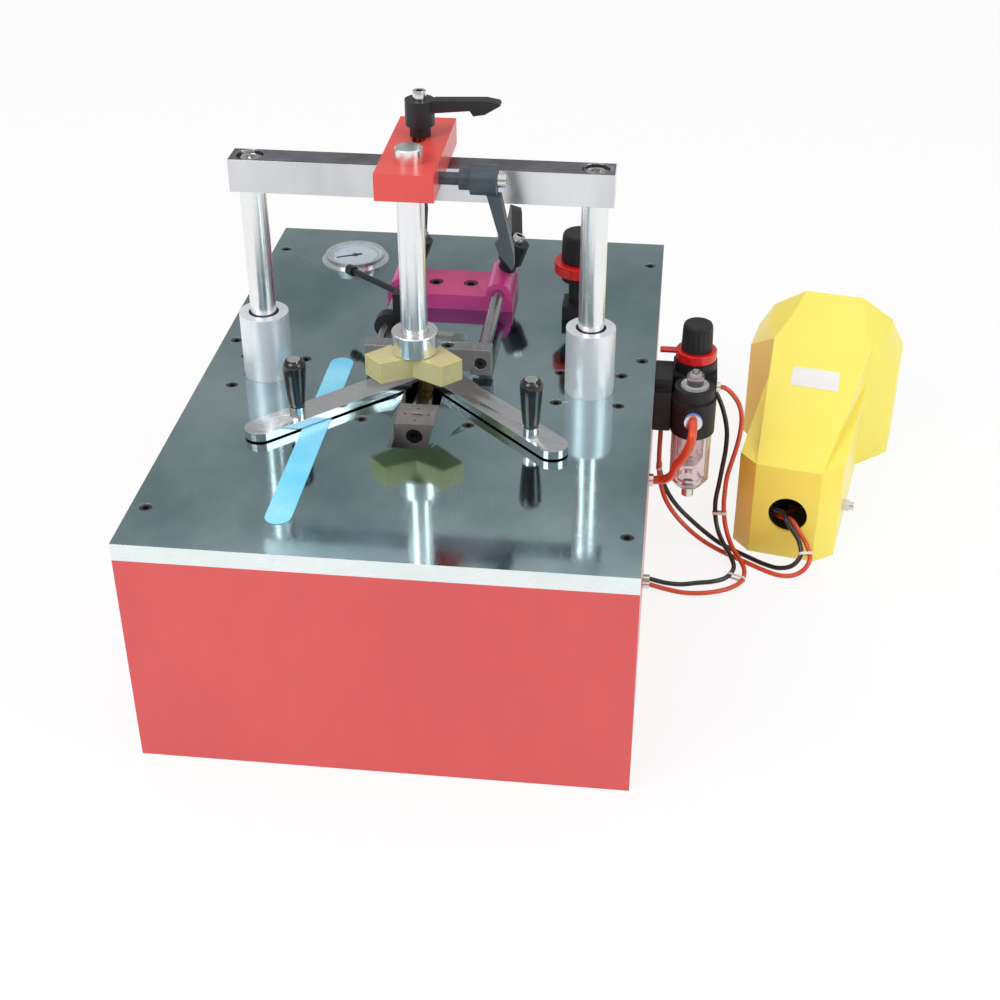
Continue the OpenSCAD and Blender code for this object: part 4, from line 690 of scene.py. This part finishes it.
def knob(nodeName, diameter, bore, deep, ribs):
    # A slightly tapered drum with flutes, a step to a smooth crown and a bore for the stem
    place, h = axisOf(nodeName)
    r = diameter / 2
    k = knobShape
    wall = k["wallShare"] * h - k["foot"]
    profile = [[0, deep], [bore, deep], [bore, 0], [r - k["taper"], 0], [r, k["foot"]]]
    profile += [[r - k["taper"] * q, k["foot"] + wall * q] for q in np.linspace(0.1, 1, 8)]
    crown = np.radians(np.linspace(0, 90, 7))
    profile += [[r - k["crownIn"] + k["crownRound"] * math.cos(c),
                 k["crownShare"] * h + k["crownRise"] * h * math.sin(c)] for c in crown]
    profile += [[r - k["topIn"], k["topShare"] * h], [0, k["topShare"] * h]]
    piece = lathe(nodeName + ".turned", profile, place, "blackPlastic", bodyOf[nodeName],
                  sides=ribs * 12,
                  flutes=(ribs, k["fluteDepth"], k["fluteLow"], k["fluteShare"] * h))
    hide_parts(nodeName)


for key, shape in knobs.items():
    knob(key, **shape)
print("grips and knobs turned")

# Bright socket screws in the hubs of the clamp levers

hubScrew = {"radius": 5.45, "socket": 2.95, "height": 7.15, "base": 30.0, "socketDepth": 3.2}
clampHub = {"pitch": 93.0, "y": 458.4, "z": 17.0, "tilt": 20.0, "lift": 12.3}


def clampPlace(side):  # where a bracket lever's hub stands, side being -1 at the left and 1 at the right
    at = (side * clampHub["pitch"] / 2, clampHub["y"], clampHub["z"])
    return placeAt(at, ("Y", clampHub["tilt"]))


# Each hub's frame, and how far its lever is lifted on it
hubs = {
    "top_lever": (placeAt((0, 280, 225.6)), 0.0),
    "side_lever": (placeAt((39.5, 222, 212.8), ("Y", 90)), 0.0),
    "left_clamp_lever": (clampPlace(-1), clampHub["lift"]),
    "right_clamp_lever": (clampPlace(1), clampHub["lift"]),
}


def screwRing(name, place, lift, body):
    r, s = hubScrew["radius"], hubScrew["socket"]
    low = hubScrew["base"] + lift + 0.05
    high = hubScrew["base"] + lift + hubScrew["height"]
    profile = [[r - 0.4, low], [r, low + 0.3], [r, high - 0.6], [r - 0.18, high - 0.18],
               [r - 0.6, high], [s + 0.2, high], [s, high - 0.2], [s, high - hubScrew["socketDepth"]],
               [r - 0.4, low]]
    lathe(name, profile, place, "nickel", body, sides=48)


for key, (place, lift) in hubs.items():
    screwRing(key + ".screw", place, lift, bodyOf[key])

# Air unit: blue release collar on the hose port, pale flange under the sight dome

airUnit = {"x": 236.0, "lubricatorY": 314.0, "portZ": -31.0, "collarLow": 283.0, "collarDeep": 4.1,
           "flangeTop": -7.9, "flangeThick": 2.2}
collarBack = airUnit["collarLow"] + airUnit["collarDeep"]
collarPlace = placeAt((airUnit["x"], collarBack, airUnit["portZ"]), ("X", 90))
lathe("portCollar", [[5.0, 0], [8.1, 0], [8.2, 0.4], [8.2, 3.2], [7.4, 4.05], [4.3, 4.05], [4.3, 0.4],
                     [5.0, 0]], collarPlace, "collarBlue", "machine")
flangePlace = placeAt((airUnit["x"], airUnit["lubricatorY"], airUnit["flangeTop"] - airUnit["flangeThick"]))
lathe("domeFlange", [[7.6, 0], [12.7, 0], [12.75, 1.6], [12.2, 2.15], [7.6, 2.15], [7.6, 0]],
      flangePlace, "flangeGrey", "machine")

# Pedal spring, between the heights of its node

springShape = {"along": 160.0, "radius": 9.0, "wire": 2.4, "turns": 6, "steps": 36, "sides": 12,
               "clear": 0.5}


def pedalSpring():
    # A helix: the angle and the height both grow evenly along the wire
    d = springShape
    low, high = (corner[2] * 1000 - datum["tableTop"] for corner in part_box("pedal_spring"))
    t = np.linspace(0, 1, d["turns"] * d["steps"] + 1)
    a = 2 * np.pi * d["turns"] * t
    x, y, z = pedalPoint(d["radius"] * np.cos(a), d["along"] + d["radius"] * np.sin(a), 0 * t)
    height = low + d["wire"] / 2 + (high - low - d["wire"]) * t
    points, faces = sweep(atTable(np.stack([x, y, height], -1)), d["wire"] / 2000, d["sides"])
    piece = pieceFrom("springWire", points, faces, "springSteel", "machine", 50)
    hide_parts("pedal_spring")
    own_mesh(piece)


pedalSpring()

# Gauge: plain marks on the dial, without figures

dialMarks = {"x": -111.0, "y": 523.0, "low": 4.5, "high": 4.62, "count": 41, "outer": 24.5,
             "long": 4.2, "short": 2.4, "width": 0.45, "from": -135.0, "to": 135.0}


def gaugeMarks():
    # Thin radial bars at even angles, every fifth one longer, all as one array of box corners
    d = dialMarks
    k = np.arange(d["count"])
    a = np.radians(np.linspace(d["from"], d["to"], d["count"]) + 90)
    inner = d["outer"] - np.where(k % 5 == 0, d["long"], d["short"])
    radial = np.stack([np.cos(a), np.sin(a), 0 * a], -1)
    across = np.stack([-np.sin(a), np.cos(a), 0 * a], -1) * d["width"] / 2
    corners = [radial * inner[:, None] - across, radial * d["outer"] - across,
               radial * d["outer"] + across, radial * inner[:, None] + across]
    up = np.array([0, 0, 1.0])
    pts = np.stack([c + up * d["low"] for c in corners] + [c + up * d["high"] for c in corners], 1)
    pts = atTable(pts.reshape(-1, 3) + np.array([d["x"], d["y"], 0]))
    box = np.array([[3, 2, 1, 0], [4, 5, 6, 7], [0, 1, 5, 4], [1, 2, 6, 5], [2, 3, 7, 6], [3, 0, 4, 7]])
    faces = (box[None] + 8 * k[:, None, None]).reshape(-1, 4).tolist()
    pieceFrom("dialMarks", pts, faces, "inkBlack", "machine", 30)


gaugeMarks()
print("small pieces made")

# Blank label on the hood: a thin plate that lies on the hood where the picture shows it

labelPlate = {"corners": ((793.5, 366.4), (840.1, 373.1), (837.9, 391.9), (790.1, 384.9)),
              "cols": 16, "rows": 8, "low": 0.05, "high": 0.45}


def hoodLabel():
    # The picture's corners are blended to a grid of rays, and each meets the hood's outside
    mesh = nodes["pedal_hood"].data
    tree = BVHTree.FromPolygons([v.co.copy() for v in mesh.vertices],
                                [tuple(p.vertices) for p in mesh.polygons])
    u, v = np.meshgrid(np.linspace(0, 1, labelPlate["cols"]), np.linspace(0, 1, labelPlate["rows"]))
    c = np.array(labelPlate["corners"])
    weights = ((1 - u) * (1 - v), u * (1 - v), u * v, (1 - u) * v)
    pixels = sum(w[..., None] * corner for w, corner in zip(weights, c)).reshape(-1, 2)
    start = Vector(cameraView["place"])
    hits = [tree.ray_cast(start, pixelRay(*p)) for p in pixels]
    at = np.array([h[0] for h in hits])
    out = np.array([h[1] if h[1].dot(pixelRay(*p)) < 0 else -h[1] for h, p in zip(hits, pixels)])
    n = len(at)
    pts = np.vstack([at + out * labelPlate["high"] / 1000, at + out * labelPlate["low"] / 1000])
    rows, cols = labelPlate["rows"], labelPlate["cols"]
    topFaces = gridFaces(rows, cols, ring=False)
    lowFaces = [f[::-1] for f in gridFaces(rows, cols, ring=False, start=n)]
    grid = np.arange(n).reshape(rows, cols)
    edge = np.concatenate([grid[0, :-1], grid[:-1, -1], grid[-1, :0:-1], grid[:0:-1, 0]])
    rim = np.stack([edge, np.roll(edge, -1), np.roll(edge, -1) + n, edge + n], -1).tolist()
    pieceFrom("hoodLabel", pts, topFaces + lowFaces + rim, "labelWhite", "machine", 30)


hoodLabel()
print("label laid on the hood")

# Floor, lamps and world

# The sky's strength, its greys by height, and its grey at the bottom
light = {"sky": 1.0, "stops": ((0.38, 0.34), (0.55, 0.4), (0.62, 0.95)), "low": 0.55}
stage = {"half": 9, "drop": 0.0003, "grey": 0.9, "whiteShare": 0.86}
lamps = {
    "keyLamp": {"place": (-1.1, -1.3, 1.9), "target": (0, 0, 0.2), "size": (1.2, 1.2), "power": 21},
    "fillLamp": {"place": (1.9, -0.9, 1.3), "target": (0.1, 0, 0.2), "size": (1.0, 1.0), "power": 12},
}


def backgroundFinish():
    m = bpy.data.materials.new("floorWhite")
    m.use_nodes = True
    t = m.node_tree
    out = t.nodes["Material Output"]
    t.nodes.remove(t.nodes["Principled BSDF"])
    diffuse = node(t, "BsdfDiffuse", {"Color": (stage["grey"],) * 3 + (1,)})
    white = node(t, "Emission", {"Color": (1, 1, 1, 1), "Strength": 1.0})
    path = node(t, "LightPath")
    seen = node(t, "Math", {0: path.outputs["Is Camera Ray"], 1: path.outputs["Is Glossy Ray"]},
                operation="ADD")
    seen = node(t, "Math", {0: seen.outputs[0], 1: path.outputs["Is Transmission Ray"]},
                operation="ADD", use_clamp=True)
    share = node(t, "Math", {0: seen.outputs[0], 1: stage["whiteShare"]}, operation="MULTIPLY")
    both = node(t, "MixShader", {0: share.outputs[0], 1: diffuse.outputs[0], 2: white.outputs[0]})
    t.links.new(both.outputs[0], out.inputs["Surface"])
    return m


floorMesh = bpy.data.meshes.new("floor")
half = stage["half"]
corners = [(-half, -half, 0), (half, -half, 0), (half, half, 0), (-half, half, 0)]
floorMesh.from_pydata(corners, [], [(0, 1, 2, 3)])
floor = bpy.data.objects.new("floor", floorMesh)
floor.location.z = -stage["drop"]
bpy.context.scene.collection.objects.link(floor)
floorMesh.materials.append(backgroundFinish())


def softbox(name, place, target, size, power):
    data = bpy.data.lights.new(name, "AREA")
    data.shape = "RECTANGLE"
    data.size, data.size_y = size
    data.energy = power
    lamp = bpy.data.objects.new(name, data)
    bpy.context.scene.collection.objects.link(lamp)
    aimed = (Vector(target) - Vector(place)).to_track_quat("-Z", "Y").to_matrix().to_4x4()
    lamp.matrix_world = Matrix.Translation(place) @ aimed


for key, lamp in lamps.items():
    softbox(key, **lamp)

world = bpy.data.worlds.new("studio")
bpy.context.scene.world = world
world.use_nodes = True
worldTree = world.node_tree
sky = worldTree.nodes["Background"]
where = node(worldTree, "TexCoord")
split = node(worldTree, "SeparateXYZ", {"Vector": where.outputs["Generated"]})
ramp = node(worldTree, "ValToRGB", {0: split.outputs["Z"]})
ramp.color_ramp.elements[0].position = 0.0
ramp.color_ramp.elements[0].color = (light["low"],) * 3 + (1,)
ramp.color_ramp.elements[1].position = 1.0
ramp.color_ramp.elements[1].color = (1, 1, 1, 1)
for stop, level in light["stops"]:
    e = ramp.color_ramp.elements.new(stop)
    e.color = (level, level, level, 1)
worldTree.links.new(ramp.outputs[0], sky.inputs["Color"])
sky.inputs["Strength"].default_value = light["sky"]
print("stage and light set")
